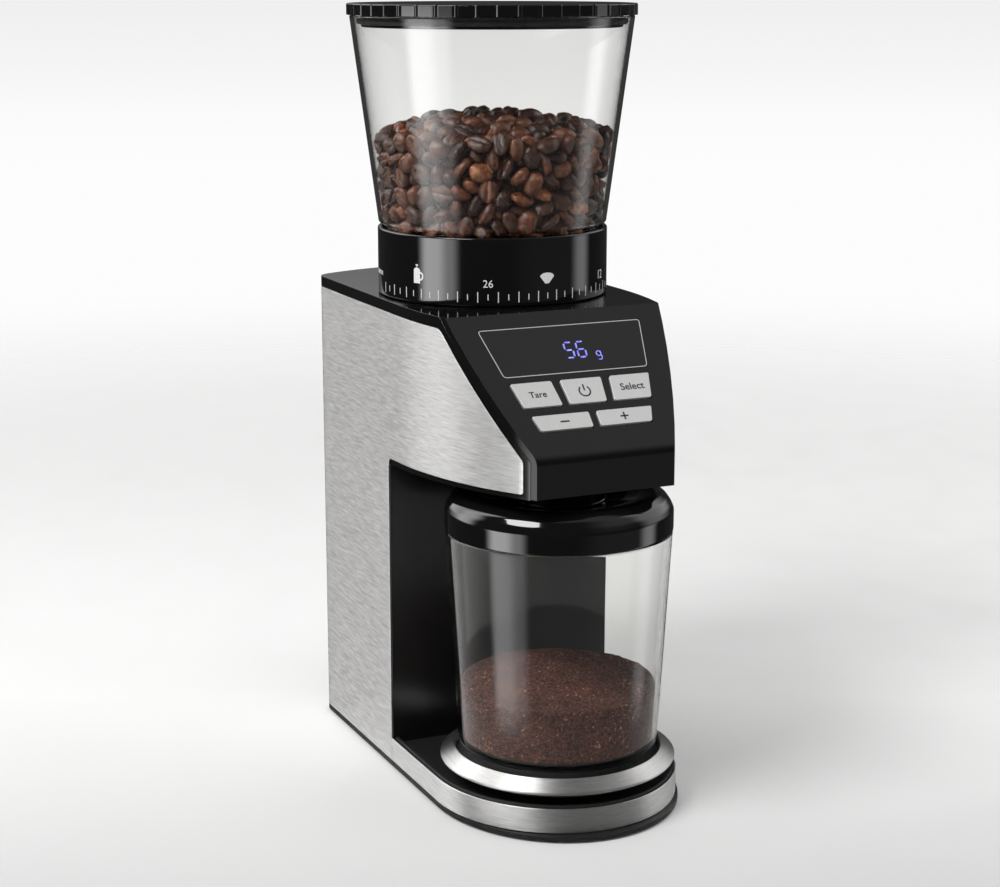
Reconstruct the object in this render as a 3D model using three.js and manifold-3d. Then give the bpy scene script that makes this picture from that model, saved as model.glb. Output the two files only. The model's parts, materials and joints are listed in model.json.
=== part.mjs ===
// Conical burr coffee grinder with a bean hopper, a sloping control panel and a weighing platform for a cup.
// Millimetres. +Z is up and the controls face -Y. The origin is on the resting surface, under the middle of
// the machine.
import * as THREE from "three";
import { mergeVertices } from "three/addons/utils/BufferGeometryUtils.js";
import Module from "manifold-3d";

const wasm = await Module();
wasm.setup();

// ---- Driving dimensions ----

const GAP = 0.3; // between pieces that touch
const ROUND = 36; // sides of the large turned pieces
const SMALL = 16; // sides of the small ones

// Plan of the body: straight sides, a bulged back, and a head that draws in towards its front on an arc.
const HALF_W = 62.2;
const BACK_Y = 124;
const BACK_R = 129;
const CORNER_R = 6;
const TAPER_Y = -7.6;
const TAPER_R = 217.5;
const HEAD_FRONT_Y = -111;
const COLUMN_FRONT_Y = 6;

// Plan of the base's round nose.
const NOSE_Y = -53;
const BAND_REACH = 66.4;
const PLINTH_REACH = 71;

// Heights.
const PLINTH_Z = [1, 3.3];
const BAND_Z = [3.6, 15.8];
const TRAY_DECK_Z = [12, 14];
const TRAY_LIP_Z = 17.2;
const SPLIT_Z = 162.5;
const UNDER_Z = [162.8, 167.6]; // underside of the head, at the column and at the front
const STEEL_TOP_Z = 240;
const TOP_Z = [240.3, 245.8];

// Shells and sheets.
const STEEL = 0.8;
const RECESS = STEEL + GAP;
const WALL = 3.2;
const FLOOR = 2.4;
const PANEL = 3;
const BACK_OPENING = 50;

// Steel side panel in side view.
const STEEL_COLUMN_Y = 8.5;
const STEEL_ARCH_Z = [165.6, 169.4];
const STEEL_NOSE_Y = -103.8;
const STEEL_NOSE_Z = 185;
const STEEL_SLOPE_Y = -49.3;
const ARCH_CORNER_R = 4;
const SLOPE_CORNER_R = 4;
const NOSE_CORNER_R = 1.5;

// Control panel: it slopes down from the top plate's front edge to a crease, then drops straight.
const SLOPE = THREE.MathUtils.degToRad(46);
const SLOPE_TOP = [-54, TOP_Z[1]];
const PANEL_FOOT_Z = 168;

// Grinding axis and cup axis.
const GRIND_Y = 18;
const CUP_Y = -60.6;

// Gear train from the motor to the burr shaft.
const MOTOR_Y = 66;
const MOTOR_TEETH = 12;
const IDLER_WHEEL_TEETH = 36;
const IDLER_PINION_TEETH = 11;
const DRIVE_TEETH = 34;
const FIRST_MODULE = 1;
const SECOND_MODULE = 1.25;
const BACKLASH = 0.3;
const PRESSURE_ANGLE = THREE.MathUtils.degToRad(20);

// ---- Solids ----

// The manifold-3d solid of a closed three.js geometry.
function solidOf(geometry) {
  const bare = geometry.clone();
  bare.deleteAttribute("normal");
  bare.deleteAttribute("uv");
  const merged = mergeVertices(bare, 1e-4);
  const corners = merged.index.array;
  const triangles = [];
  for (let i = 0; i < corners.length; i += 3) {
    const [a, b, c] = corners.slice(i, i + 3);
    if (a !== b && b !== c && c !== a) triangles.push(a, b, c);
  }
  return new wasm.Manifold(
    new wasm.Mesh({
      numProp: 3,
      vertProperties: new Float32Array(merged.attributes.position.array),
      triVerts: new Uint32Array(triangles),
    }),
  );
}

function geometryOf(solid) {
  const made = solid.getMesh();
  const geometry = new THREE.BufferGeometry();
  geometry.setAttribute("position", new THREE.BufferAttribute(made.vertProperties, 3));
  geometry.setIndex(new THREE.BufferAttribute(made.triVerts, 1));
  return geometry;
}

const combine = (method, first, others) =>
  geometryOf(others.reduce((solid, other) => solid[method](solidOf(other)), solidOf(first)));
const cut = (first, ...others) => combine("subtract", first, others);
const join = (first, ...others) => combine("add", first, others);
const common = (first, ...others) => combine("intersect", first, others);

const vectors = (pairs) => pairs.map(([a, b]) => new THREE.Vector2(a, b));

// Points along an arc of an ellipse, from one angle to another in degrees.
function arc(cx, cy, rx, ry, from, to, steps) {
  return Array.from({ length: steps + 1 }, (_, i) => {
    const angle = THREE.MathUtils.degToRad(from + ((to - from) * i) / steps);
    return new THREE.Vector2(cx + rx * Math.cos(angle), cy + ry * Math.sin(angle));
  });
}

// The corner at point, between its two neighbours, rounded off over reach along each side.
function roundedCorner(before, point, after, reach, steps) {
  const towards = (other) => other.clone().sub(point).setLength(reach).add(point);
  return new THREE.QuadraticBezierCurve(towards(before), point, towards(after)).getPoints(steps);
}

// A plan outline in XY raised between two heights.
function slab(outline, low, high) {
  const options = { depth: high - low, bevelEnabled: false };
  return new THREE.ExtrudeGeometry(new THREE.Shape(outline), options).translate(0, 0, low);
}

// A side-view outline in YZ carried along X.
function slabX(outline, low, high) {
  const toSide = new THREE.Matrix4().makeBasis(
    new THREE.Vector3(0, 1, 0),
    new THREE.Vector3(0, 0, 1),
    new THREE.Vector3(1, 0, 0),
  );
  return slab(outline, low, high).applyMatrix4(toSide);
}

// A profile of [radius, height] pairs turned about the vertical axis at (x, y). A ring's profile runs round
// its section.
function turned(profile, x, y, sides) {
  const closed = profile[0][0] > 0 ? [...profile, profile[0]] : profile;
  const geometry = new THREE.LatheGeometry(vectors(closed), sides);
  return geometry.rotateX(Math.PI / 2).translate(x, y, 0);
}

function drum(radius, low, high, x, y, sides = SMALL) {
  return turned([[0, low], [radius, low], [radius, high], [0, high]], x, y, sides);
}

function ring(inner, outer, low, high, x, y, sides = SMALL) {
  return turned([[inner, low], [outer, low], [outer, high], [inner, high]], x, y, sides);
}

function box([x0, x1], [y0, y1], [z0, z1]) {
  const geometry = new THREE.BoxGeometry(x1 - x0, y1 - y0, z1 - z0);
  return geometry.translate((x0 + x1) / 2, (y0 + y1) / 2, (z0 + z1) / 2);
}

// ---- Outlines of the body ----

// Right half of the back, from the middle to the start of the straight side, drawn in by inset.
function backHalf(inset) {
  const half = HALF_W - inset;
  const radius = BACK_R - inset;
  const centreY = BACK_Y - BACK_R;
  const turn = THREE.MathUtils.radToDeg(Math.acos((half - CORNER_R) / radius));
  const cornerY = centreY + Math.sqrt(radius ** 2 - half ** 2);
  const bulge = arc(0, centreY, radius, radius, 90, turn, 8);
  const rounding = new THREE.QuadraticBezierCurve(
    bulge.at(-1),
    new THREE.Vector2(half, cornerY),
    new THREE.Vector2(half, cornerY - CORNER_R),
  );
  return [...bulge, ...rounding.getPoints(4).slice(1)];
}

const mirrored = (half) => {
  const other = half.map((point) => new THREE.Vector2(-point.x, point.y)).reverse();
  return [...half, ...other].filter((point, i, all) => point.distanceTo(all.at(i - 1)) > 0.01);
};

// Plan of the head or the column: the sides run forward to frontY.
function bodyPlan(inset, frontY) {
  const half = HALF_W - inset;
  const radius = TAPER_R - inset;
  const side = [new THREE.Vector2(half, Math.max(frontY, TAPER_Y))];
  if (frontY < TAPER_Y) {
    const turn = THREE.MathUtils.radToDeg(Math.asin((frontY - TAPER_Y) / radius));
    side.push(...arc(HALF_W - TAPER_R, TAPER_Y, radius, radius, 0, turn, 10).slice(1));
  }
  return mirrored([...backHalf(inset), ...side]);
}

// Plan of the base: the sides end in a round nose that reaches forward of NOSE_Y.
function basePlan(inset, reach) {
  const nose = arc(0, NOSE_Y, HALF_W - inset, reach - inset, 0, -90, 16);
  return mirrored([...backHalf(inset), ...nose]);
}

const alongSlope = (distance, depth) => [
  SLOPE_TOP[0] - distance * Math.cos(SLOPE) + depth * Math.sin(SLOPE),
  SLOPE_TOP[1] - distance * Math.sin(SLOPE) - depth * Math.cos(SLOPE),
];

// The point of the sloping plane, lowered by depth, at a height or at a distance forward.
function slopeAtZ(depth, z) {
  const [y0, z0] = alongSlope(0, depth);
  return [y0 - (z0 - z) / Math.tan(SLOPE), z];
}

function slopeAtY(depth, y) {
  const [y0, z0] = alongSlope(0, depth);
  return [y, z0 - (y0 - y) * Math.tan(SLOPE)];
}

const underZ = (y) =>
  UNDER_Z[0] + ((UNDER_Z[1] - UNDER_Z[0]) * (COLUMN_FRONT_Y - y)) / (COLUMN_FRONT_Y - HEAD_FRONT_Y);

// Side view of the steel panel, grown all round by grow.
function steelProfile(grow) {
  const columnY = STEEL_COLUMN_Y - grow;
  const [archZ, noseZ] = STEEL_ARCH_Z.map((z) => z - grow);
  const [backFoot, backTop, slopeTop, noseTop, noseFoot, columnTop, columnFoot] = vectors([
    [BACK_Y + 10, BAND_Z[0] - grow],
    [BACK_Y + 10, STEEL_TOP_Z + grow],
    [STEEL_SLOPE_Y - grow / Math.sin(SLOPE), STEEL_TOP_Z + grow],
    [STEEL_NOSE_Y - grow, STEEL_NOSE_Z],
    [STEEL_NOSE_Y - grow, noseZ],
    [columnY, archZ],
    [columnY, BAND_Z[0] - grow],
  ]);
  return [
    backFoot,
    backTop,
    ...roundedCorner(backTop, slopeTop, noseTop, SLOPE_CORNER_R, 4),
    ...roundedCorner(slopeTop, noseTop, noseFoot, NOSE_CORNER_R, 3),
    ...roundedCorner(noseTop, noseFoot, columnTop, NOSE_CORNER_R, 3),
    ...roundedCorner(noseFoot, columnTop, columnFoot, ARCH_CORNER_R, 5),
    columnFoot,
  ].reverse();
}

const everywhereX = [-HALF_W - 10, HALF_W + 10];
const backOpening = () =>
  box([-BACK_OPENING, BACK_OPENING], [BACK_Y - 30, BACK_Y + 10], [-10, TOP_Z[1] + 10]);

// What is cut from the shells so that the steel sits flush in them.
const steelRecess = () =>
  cut(
    common(slab(bodyPlan(-5, HEAD_FRONT_Y - 5), 0, TOP_Z[1]), slabX(steelProfile(GAP), ...everywhereX)),
    slab(bodyPlan(RECESS, HEAD_FRONT_Y - 15), -1, TOP_Z[1] + 1),
  );

// ---- Base ----

const FEET = [[-40, -85], [40, -85], [-46, 92], [46, 92]];
const BASE_SCREWS = [[-49, -40], [49, -40], [-50, 78], [50, 78]];
const SCREW = { shank: 1.5, head: 3.2, low: 1.2, top: 10 };

function basePlinth() {
  const pegHoles = FEET.map(([x, y]) => drum(3, 0, 5, x, y));
  const screwHoles = BASE_SCREWS.map(([x, y]) =>
    turned([[0, 0], [3.8, 0], [3.8, 2.2], [1.9, 3.6], [0, 3.6]], x, y, SMALL),
  );
  return cut(slab(basePlan(0, PLINTH_REACH), ...PLINTH_Z), ...pegHoles, ...screwHoles);
}

const rubberFoot = ([x, y]) =>
  turned([[0, 0], [6.7, 0], [7, 0.3], [7, 0.7], [2.7, 0.7], [2.7, 4.5], [0, 4.5]], x, y, SMALL);

function baseScrew([x, y]) {
  const { shank, head, low, top } = SCREW;
  const profile = [[0, low], [head, low], [head, low + 0.6], [shank, 3], [shank, top], [0, top]];
  return turned(profile, x, y, SMALL);
}

function baseBand() {
  const sheet = cut(
    slab(basePlan(0, BAND_REACH), ...BAND_Z),
    slab(basePlan(STEEL, BAND_REACH), BAND_Z[0] - 1, BAND_Z[1] + 1),
  );
  return common(sheet, box(everywhereX, [-200, STEEL_COLUMN_Y - GAP], [0, 30]));
}

// A screw boss with a web that ties it to the wall beside it.
function screwBoss([x, y], wallX) {
  const height = [BAND_Z[0], TRAY_DECK_Z[1] - 1];
  const web = box([Math.min(x, wallX), Math.max(x, wallX)], [y - 1.2, y + 1.2], height);
  return join(drum(4, ...height, x, y), web);
}

const bossBore = ([x, y]) => drum(1.8, 0, 11, x, y);

function baseTray() {
  const outer = STEEL + 0.5;
  const inner = outer + 2;
  const deckTop = TRAY_DECK_Z[1];
  const block = slab(basePlan(outer, BAND_REACH), BAND_Z[0], TRAY_LIP_Z);
  const front = common(block, box(everywhereX, [-200, COLUMN_FRONT_Y - GAP], [0, 30]));
  const lip = common(
    slab(basePlan(outer + 1.4, BAND_REACH), deckTop, 30),
    box(everywhereX, [-200, COLUMN_FRONT_Y], [0, 30]),
  );
  const under = common(
    slab(basePlan(inner, BAND_REACH), 0, TRAY_DECK_Z[0]),
    box(everywhereX, [-200, COLUMN_FRONT_Y - 2], [0, 30]),
  );
  const screws = BASE_SCREWS.slice(0, 2);
  const bosses = screws.map((place) => screwBoss(place, Math.sign(place[0]) * (HALF_W - inner + 0.5)));
  const shell = cut(front, lip, under, drum(20, 0, 30, 0, CUP_Y));
  return cut(join(shell, ...bosses), ...screws.map(bossBore));
}

// ---- Weighing platform ----

const scalePedestal = () =>
  turned(
    [[0, 11], [17, 11], [17, 16], [47, 19.5], [55, 20.5], [55, 22], [0, 22]],
    0, CUP_Y, ROUND,
  );

const scaleRing = () =>
  turned(
    [[51.6, 22.3], [57.9, 22.3], [58.7, 23], [58.7, 24], [52.2, 28.7], [51.6, 28.7]],
    0, CUP_Y, ROUND,
  );

const PAD_TOP_Z = 29.2;
const scalePad = () =>
  turned(
    [
      [0, 22.3], [51.3, 22.3], [51.3, 24.6], [44, 24.6], [44, PAD_TOP_Z - 0.8], [43.2, PAD_TOP_Z],
      [0, PAD_TOP_Z],
    ],
    0, CUP_Y, ROUND,
  );

// The weighing beam, thinned by two cross holes where it flexes.
function loadCell() {
  const height = [4.2, 10.7];
  const beam = box([-6.5, 6.5], [CUP_Y - 38, CUP_Y + 38], height);
  const middleZ = (height[0] + height[1]) / 2;
  const holes = [-9, 9].map((along) =>
    drum(2.4, -10, 10, 0, 0).rotateY(Math.PI / 2).translate(0, CUP_Y + along, middleZ),
  );
  return cut(beam, ...holes);
}

// ---- Housing ----

function columnShell() {
  const outer = slab(bodyPlan(0, COLUMN_FRONT_Y), BAND_Z[0], SPLIT_Z);
  const inner = slab(bodyPlan(WALL, COLUMN_FRONT_Y + WALL), 0, SPLIT_Z + 1);
  const bandNotch = cut(
    box(everywhereX, [0, STEEL_COLUMN_Y], [0, BAND_Z[1] + GAP]),
    slab(bodyPlan(RECESS, COLUMN_FRONT_Y - 10), -1, 40),
  );
  const screws = BASE_SCREWS.slice(2);
  const bosses = screws.map((place) => screwBoss(place, Math.sign(place[0]) * (HALF_W - WALL + 0.5)));
  const shell = cut(outer, inner, backOpening(), steelRecess(), bandNotch);
  return cut(join(shell, ...bosses), ...screws.map(bossBore));
}

// Side view of the head between its underside and the control panel's inner face.
function headProfile() {
  const frontY = HEAD_FRONT_Y + PANEL + GAP;
  return vectors([
    [BACK_Y + 10, UNDER_Z[0]],
    [BACK_Y + 10, STEEL_TOP_Z],
    slopeAtZ(PANEL + GAP, STEEL_TOP_Z),
    slopeAtY(PANEL + GAP, frontY),
    [frontY, underZ(frontY)],
    [COLUMN_FRONT_Y, UNDER_Z[0]],
  ]).reverse();
}

function headShell() {
  const block = common(
    slab(bodyPlan(0, HEAD_FRONT_Y - 5), 0, TOP_Z[1]),
    slabX(headProfile(), ...everywhereX),
  );
  const floorFront = HEAD_FRONT_Y - 10;
  const cavity = common(
    slab(bodyPlan(WALL, HEAD_FRONT_Y - 5), 0, TOP_Z[1] + 10),
    slabX(
      vectors([
        [BACK_Y + 10, 0],
        [BACK_Y + 10, TOP_Z[1] + 5],
        [floorFront, TOP_Z[1] + 5],
        [floorFront, underZ(floorFront) + FLOOR],
        [COLUMN_FRONT_Y + WALL, UNDER_Z[0] + FLOOR],
        [COLUMN_FRONT_Y + WALL, 0],
      ]).reverse(),
      ...everywhereX,
    ),
  );
  return cut(block, cavity, backOpening(), steelRecess(), drum(17.4, 100, 200, 0, CUP_Y, ROUND));
}

// One brushed steel sheet; side is 1 on the right and -1 on the left.
function sidePanel(side) {
  const sheet = cut(
    slab(bodyPlan(0, HEAD_FRONT_Y), BAND_Z[0], STEEL_TOP_Z),
    slab(bodyPlan(STEEL, HEAD_FRONT_Y - 15), 0, TOP_Z[1]),
  );
  const sideOnly = side > 0 ? [BACK_OPENING + GAP, 90] : [-90, -BACK_OPENING - GAP];
  const half = side > 0 ? [1, 90] : [-90, -1];
  const backReach = box(sideOnly, [60, BACK_Y + 10], [0, TOP_Z[1]]);
  const front = box(half, [HEAD_FRONT_Y - 20, 60.5], [0, TOP_Z[1]]);
  return common(sheet, slabX(steelProfile(0), ...everywhereX), join(backReach, front));
}

const GLAND_Z = 24;

function rearCover() {
  const sheet = cut(
    slab(bodyPlan(0, 0), BAND_Z[0], STEEL_TOP_Z),
    slab(bodyPlan(2.6, -10), 0, TOP_Z[1]),
  );
  const strip = common(
    sheet,
    box([GAP - BACK_OPENING, BACK_OPENING - GAP], [BACK_Y - 30, BACK_Y + 10], [0, TOP_Z[1]]),
  );
  const slots = Array.from({ length: 9 }, (_, i) =>
    box([-24, 24], [BACK_Y - 20, BACK_Y + 10], [56 + 7 * i, 59 + 7 * i]),
  );
  const glandHole = drum(7.5, -30, 30, 0, 0).rotateX(Math.PI / 2).translate(0, BACK_Y, GLAND_Z);
  return cut(strip, ...slots, glandHole);
}

// The cord's inlet bushing in the rear cover; its axis lies along Y.
const cordGland = () =>
  ring(3.4, 7, 0, 14, 0, 0).rotateX(Math.PI / 2).translate(0, BACK_Y - 0.2, GLAND_Z);

function topPlate() {
  const plate = slab(bodyPlan(0, SLOPE_TOP[0] - 20), ...TOP_Z);
  const ahead = slabX(
    vectors([
      slopeAtZ(PANEL + GAP, TOP_Z[1] + 10),
      [HEAD_FRONT_Y - 20, TOP_Z[1] + 10],
      [HEAD_FRONT_Y - 20, TOP_Z[0] - 10],
      slopeAtZ(PANEL + GAP, TOP_Z[0] - 10),
    ]),
    ...everywhereX,
  );
  return cut(plate, ahead, drum(41.4, 200, 300, 0, GRIND_Y, ROUND));
}

// ---- Control panel ----

// Layout on the sloping face: x to the right, s down the slope from its top edge.
const WINDOW = { top: [8.7, 43.3], foot: [36.2, 38] };
const BUTTONS = {
  button_tare: [[-36.6, 40.2], [-15.4, 40.2], [-13.6, 54], [-33.4, 54]],
  button_power: [[-10.8, 40.2], [10.8, 40.2], [9.6, 54], [-9.6, 54]],
  button_select: [[15.4, 40.2], [36.6, 40.2], [33.4, 54], [13.6, 54]],
  button_minus: [[-31.4, 58.8], [-2, 58.8], [-2, 67.2], [-29, 67.2]],
  button_plus: [[2, 58.8], [31.4, 58.8], [29, 67.2], [2, 67.2]],
};
// Heights are measured outwards from the panel's face; the flange keeps the cap from falling out.
const BUTTON = { corner: 1, proud: 0.9, flangeTop: -PANEL - GAP, foot: -3.8, flange: 0.8, clearance: 0.5 };

// Stands a solid built on XY, with Z outwards, on the sloping face.
function onSlope(geometry) {
  const basis = new THREE.Matrix4().makeBasis(
    new THREE.Vector3(1, 0, 0),
    new THREE.Vector3(0, Math.cos(SLOPE), Math.sin(SLOPE)),
    new THREE.Vector3(0, -Math.sin(SLOPE), Math.cos(SLOPE)),
  );
  return geometry.applyMatrix4(basis.setPosition(0, ...SLOPE_TOP));
}

// A four-cornered outline grown by grow, with rounded corners. The corners are [x, s] pairs, clockwise from
// the top left.
function keyOutline(corners, grow, radius) {
  const points = vectors(corners.map(([x, s]) => [x, -s])).reverse();
  const middle = points.reduce((sum, point) => sum.add(point), new THREE.Vector2()).divideScalar(4);
  const grown = points.map(
    (point) =>
      new THREE.Vector2(
        point.x + Math.sign(point.x - middle.x) * grow,
        point.y + Math.sign(point.y - middle.y) * grow,
      ),
  );
  return grown.flatMap((point, i) => roundedCorner(grown.at(i - 1), point, grown[(i + 1) % 4], radius, 3));
}

// Corners of a shape that narrows from its top edge to its foot, each given as [s, half width].
const narrowing = ([topS, topX], [footS, footX]) => [
  [-topX, topS],
  [topX, topS],
  [footX, footS],
  [-footX, footS],
];

const windowCorners = () => narrowing(WINDOW.top, WINDOW.foot);

function controlPanel() {
  const creaseOut = slopeAtY(0, HEAD_FRONT_Y);
  const creaseIn = slopeAtY(PANEL, HEAD_FRONT_Y + PANEL);
  const section = vectors([
    SLOPE_TOP,
    creaseOut,
    [HEAD_FRONT_Y, PANEL_FOOT_Z],
    [HEAD_FRONT_Y + PANEL, PANEL_FOOT_Z],
    creaseIn,
    slopeAtZ(PANEL, TOP_Z[1]),
  ]);
  const sheet = common(slabX(section, ...everywhereX), slab(bodyPlan(0, HEAD_FRONT_Y - 1), 100, 300));
  const holes = Object.values(BUTTONS).map((corners) =>
    onSlope(slab(keyOutline(corners, BUTTON.clearance, BUTTON.corner + BUTTON.clearance), -10, 10)),
  );
  const windowHole = onSlope(slab(keyOutline(windowCorners(), GAP, 2), -10, 10));
  return cut(sheet, windowHole, ...holes);
}

function buttonCap(corners) {
  const { corner, proud, flangeTop, foot, flange, clearance } = BUTTON;
  const cap = slab(keyOutline(corners, 0, corner), foot, proud);
  const rim = slab(keyOutline(corners, clearance + flange, corner), foot, flangeTop);
  return onSlope(join(cap, rim));
}

const displayWindow = () => onSlope(slab(keyOutline(windowCorners(), 0, 2), -2, -0.05));
const displayModule = () => onSlope(box([-17, 23], [-33, -13], [-7.4, -2.4]));

// A plate behind the panel that narrows down the slope with the head.
const backingPlate = (top, foot, low, high) =>
  onSlope(slab(keyOutline(narrowing(top, foot), 0, 1), low, high));

const buttonMat = () => backingPlate([37, 40], [69.5, 32.5], -6.6, -4.9);
const displayBoard = () => backingPlate([12, 47], [71, 33], -9.4, -7.8);

// ---- Drive: motor, gear train, burr shaft ----

const toRadians = (from, to) => Math.atan2(to[1] - from[1], to[0] - from[0]);
const GRIND = [0, GRIND_Y];
const MOTOR = [0, MOTOR_Y];
const IDLER = idlerPlace();

// The idler stands where its pinion meets the drive gear and its wheel meets the motor pinion.
function idlerPlace() {
  const toDrive = (SECOND_MODULE * (DRIVE_TEETH + IDLER_PINION_TEETH)) / 2;
  const toMotor = (FIRST_MODULE * (IDLER_WHEEL_TEETH + MOTOR_TEETH)) / 2;
  const apart = MOTOR_Y - GRIND_Y;
  const along = (toDrive ** 2 - toMotor ** 2 + apart ** 2) / (2 * apart);
  return [Math.sqrt(toDrive ** 2 - along ** 2), GRIND_Y + along];
}

// A spur gear with involute flanks and one tooth centred on the angle phase.
function gear(teeth, module, phase, low, high, [x, y]) {
  const pitchR = (teeth * module) / 2;
  const baseR = pitchR * Math.cos(PRESSURE_ANGLE);
  const tipR = pitchR + 0.85 * module;
  const rootR = pitchR - 1.2 * module;
  const involute = (angle) => Math.tan(angle) - angle;
  const halfTooth = (Math.PI * module * 0.5 - BACKLASH) / 2 / pitchR;
  const halfAt = (radius) =>
    halfTooth + involute(PRESSURE_ANGLE) - involute(Math.acos(Math.min(1, baseR / radius)));
  const flank = [rootR, tipR].map((radius) => [radius, halfAt(radius)]);
  const tooth = [...flank.map(([radius, half]) => [radius, -half]), ...flank.toReversed()];
  const points = Array.from({ length: teeth }, (_, i) =>
    tooth.map(([radius, offset]) => {
      const angle = phase + (2 * Math.PI * i) / teeth + offset;
      return new THREE.Vector2(x + radius * Math.cos(angle), y + radius * Math.sin(angle));
    }),
  );
  return slab(points.flat(), low, high);
}

const LOW_MESH_Z = [171.6, 179];
const HIGH_MESH_Z = [180.2, 185.6];
const GEARBOX = { x: [-26, 31.5], y: [-7.5, 76], z: [166.9, 188] };
const SHAFT_R = 4;
const BEARING_R = 8.5;
const AXLE_R = 2;

const driveGear = () =>
  cut(
    join(
      gear(DRIVE_TEETH, SECOND_MODULE, toRadians(GRIND, IDLER), ...LOW_MESH_Z, GRIND),
      drum(8, LOW_MESH_Z[0], 184, ...GRIND),
    ),
    drum(SHAFT_R + GAP, 0, 200, ...GRIND),
  );

function idlerGear() {
  const pinionPhase = toRadians(IDLER, GRIND) + Math.PI / IDLER_PINION_TEETH;
  return cut(
    join(
      gear(IDLER_PINION_TEETH, SECOND_MODULE, pinionPhase, LOW_MESH_Z[0], HIGH_MESH_Z[0] + 1, IDLER),
      gear(IDLER_WHEEL_TEETH, FIRST_MODULE, toRadians(IDLER, MOTOR), ...HIGH_MESH_Z, IDLER),
    ),
    drum(AXLE_R + GAP, 0, 200, ...IDLER),
  );
}

function motorPinion() {
  const phase = toRadians(MOTOR, IDLER) + Math.PI / MOTOR_TEETH;
  return cut(
    gear(MOTOR_TEETH, FIRST_MODULE, phase, HIGH_MESH_Z[0], HIGH_MESH_Z[1] + 0.6, MOTOR),
    drum(2.5 + GAP, 0, 200, ...MOTOR),
  );
}

function gearboxCase() {
  const { x, y, z } = GEARBOX;
  const inside = ([low, high]) => [low + 2, high - 2];
  return cut(
    box(x, y, z),
    box(inside(x), inside(y), [z[0] + 2.4, z[1] + 1]),
    drum(BEARING_R + GAP, 0, 200, ...GRIND),
    drum(6, 0, 200, ...MOTOR),
    drum(AXLE_R + GAP, 0, 200, ...IDLER),
  );
}

const gearboxLid = () =>
  cut(
    box(GEARBOX.x, GEARBOX.y, [GEARBOX.z[1] + GAP, GEARBOX.z[1] + 2.8]),
    drum(BEARING_R + GAP, 0, 200, ...GRIND),
    drum(AXLE_R + GAP, 0, 200, ...IDLER),
  );

const shaftBearing = (low) => ring(SHAFT_R + GAP, BEARING_R, low, low + 3.6, ...GRIND);
const idlerAxle = () => drum(AXLE_R, 167, 190.6, ...IDLER);
const driveShaft = () => drum(SHAFT_R, 167.4, 238, ...GRIND);
const motorShaft = () => drum(2.5, 141, 187.4, ...MOTOR);

function motorCan() {
  const can = turned(
    [[0, 70], [9, 70], [9, 74], [25, 74], [25, 158], [10, 158], [10, 165.6], [0, 165.6]],
    ...MOTOR, 32,
  );
  return cut(can, drum(3, 140, 170, ...MOTOR));
}

// ---- Grinding chamber and burrs ----

const CHAMBER = { outer: 44, inner: 41.4, floor: [192, 194.4], top: 240 };
const OUTLET = { half: 12, z: [194.4, 208] };

function grindChamber() {
  const { outer, inner, floor, top } = CHAMBER;
  return cut(
    drum(outer, floor[0], top, ...GRIND, ROUND),
    drum(inner, floor[1], top + 10, ...GRIND, ROUND),
    drum(SHAFT_R + 1, 0, 200, ...GRIND),
    box([-OUTLET.half, OUTLET.half], [GRIND_Y - 60, GRIND_Y - 20], OUTLET.z),
  );
}

// The disc under the burrs that sweeps the grounds to the outlet.
function sweepDisc() {
  const vanes = [0, 1, 2, 3].map((i) =>
    box([14, 38], [-1.2, 1.2], [197, 205]).rotateZ((i * Math.PI) / 2).translate(...GRIND, 0),
  );
  return cut(join(drum(38, 195.6, 198, ...GRIND, 32), ...vanes), drum(SHAFT_R + GAP, 0, 300, ...GRIND));
}

const BURR_Z = [212, 238];

function coneBurr() {
  const [footZ, tipZ] = BURR_Z;
  const cone = turned([[0, footZ], [21.4, footZ], [16, 222], [7, tipZ], [0, tipZ]], ...GRIND, 28);
  const flutes = Array.from({ length: 7 }, (_, i) =>
    box([-1.5, 1.5], [-30, -10.5], [0, 60])
      .rotateX(-0.5)
      .rotateZ((2 * Math.PI * i) / 7)
      .translate(...GRIND, 200),
  );
  return cut(cone, ...flutes, drum(SHAFT_R + GAP, 200, 260, ...GRIND));
}

const burrNut = () =>
  turned([[0, 238.3], [6.5, 238.3], [6.5, 241.5], [4, 244], [0, 244]], ...GRIND, 6);

function ringBurr() {
  const outer = 32;
  const [low, high] = [212, 235];
  return turned([[22.6, low], [outer, low], [outer, high], [24, high], [20.6, 224]], ...GRIND, 28);
}

// The threaded sleeve that holds the outer burr and rises and falls as the collar turns.
const burrCarrier = () =>
  turned(
    [
      [28, 210], [36, 210], [36, 226], [38.8, 226], [38.8, 245.2], [34.5, 245.2], [25.5, 240],
      [25.5, 235.4], [32.4, 235.4], [32.4, 211.4], [28, 211.4],
    ],
    ...GRIND, ROUND,
  );

// The duct from the chamber's outlet down to the nozzle over the cup.
function groundsChute() {
  const backY = GRIND_Y - CHAMBER.outer - 0.4;
  const outer = vectors([
    [backY, 192], [backY, 210.4], [-48, 210.4], [-77.6, 187], [-77.6, 171.6], [-45, 171.6],
  ]);
  const inner = vectors([
    [0, 194.6], [0, 208], [-48.8, 208], [-75.2, 186], [-75.2, 160], [-46, 160], [-46, 174],
  ]);
  const outside = slabX(outer.reverse(), -OUTLET.half - 2.4, OUTLET.half + 2.4);
  const inside = slabX(inner.reverse(), -OUTLET.half, OUTLET.half);
  return cut(outside, common(inside, box([-20, 20], [-100, backY + 5], [100, 300])));
}

const chuteNozzle = () => ring(15, 17, 163, 169.2, 0, CUP_Y, ROUND);

// A circuit board with the parts that stand on it.
const mainBoard = () =>
  join(
    box([-46, 46], [14, 15.6], [30, 136]),
    box([-38, -8], [15, 33], [40, 66]),
    box([6, 18], [15, 27], [44, 60]),
    box([24, 36], [15, 27], [44, 60]),
    box([-30, 30], [15, 19], [96, 112]),
  );

// ---- Collar, hopper and lid ----

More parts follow.
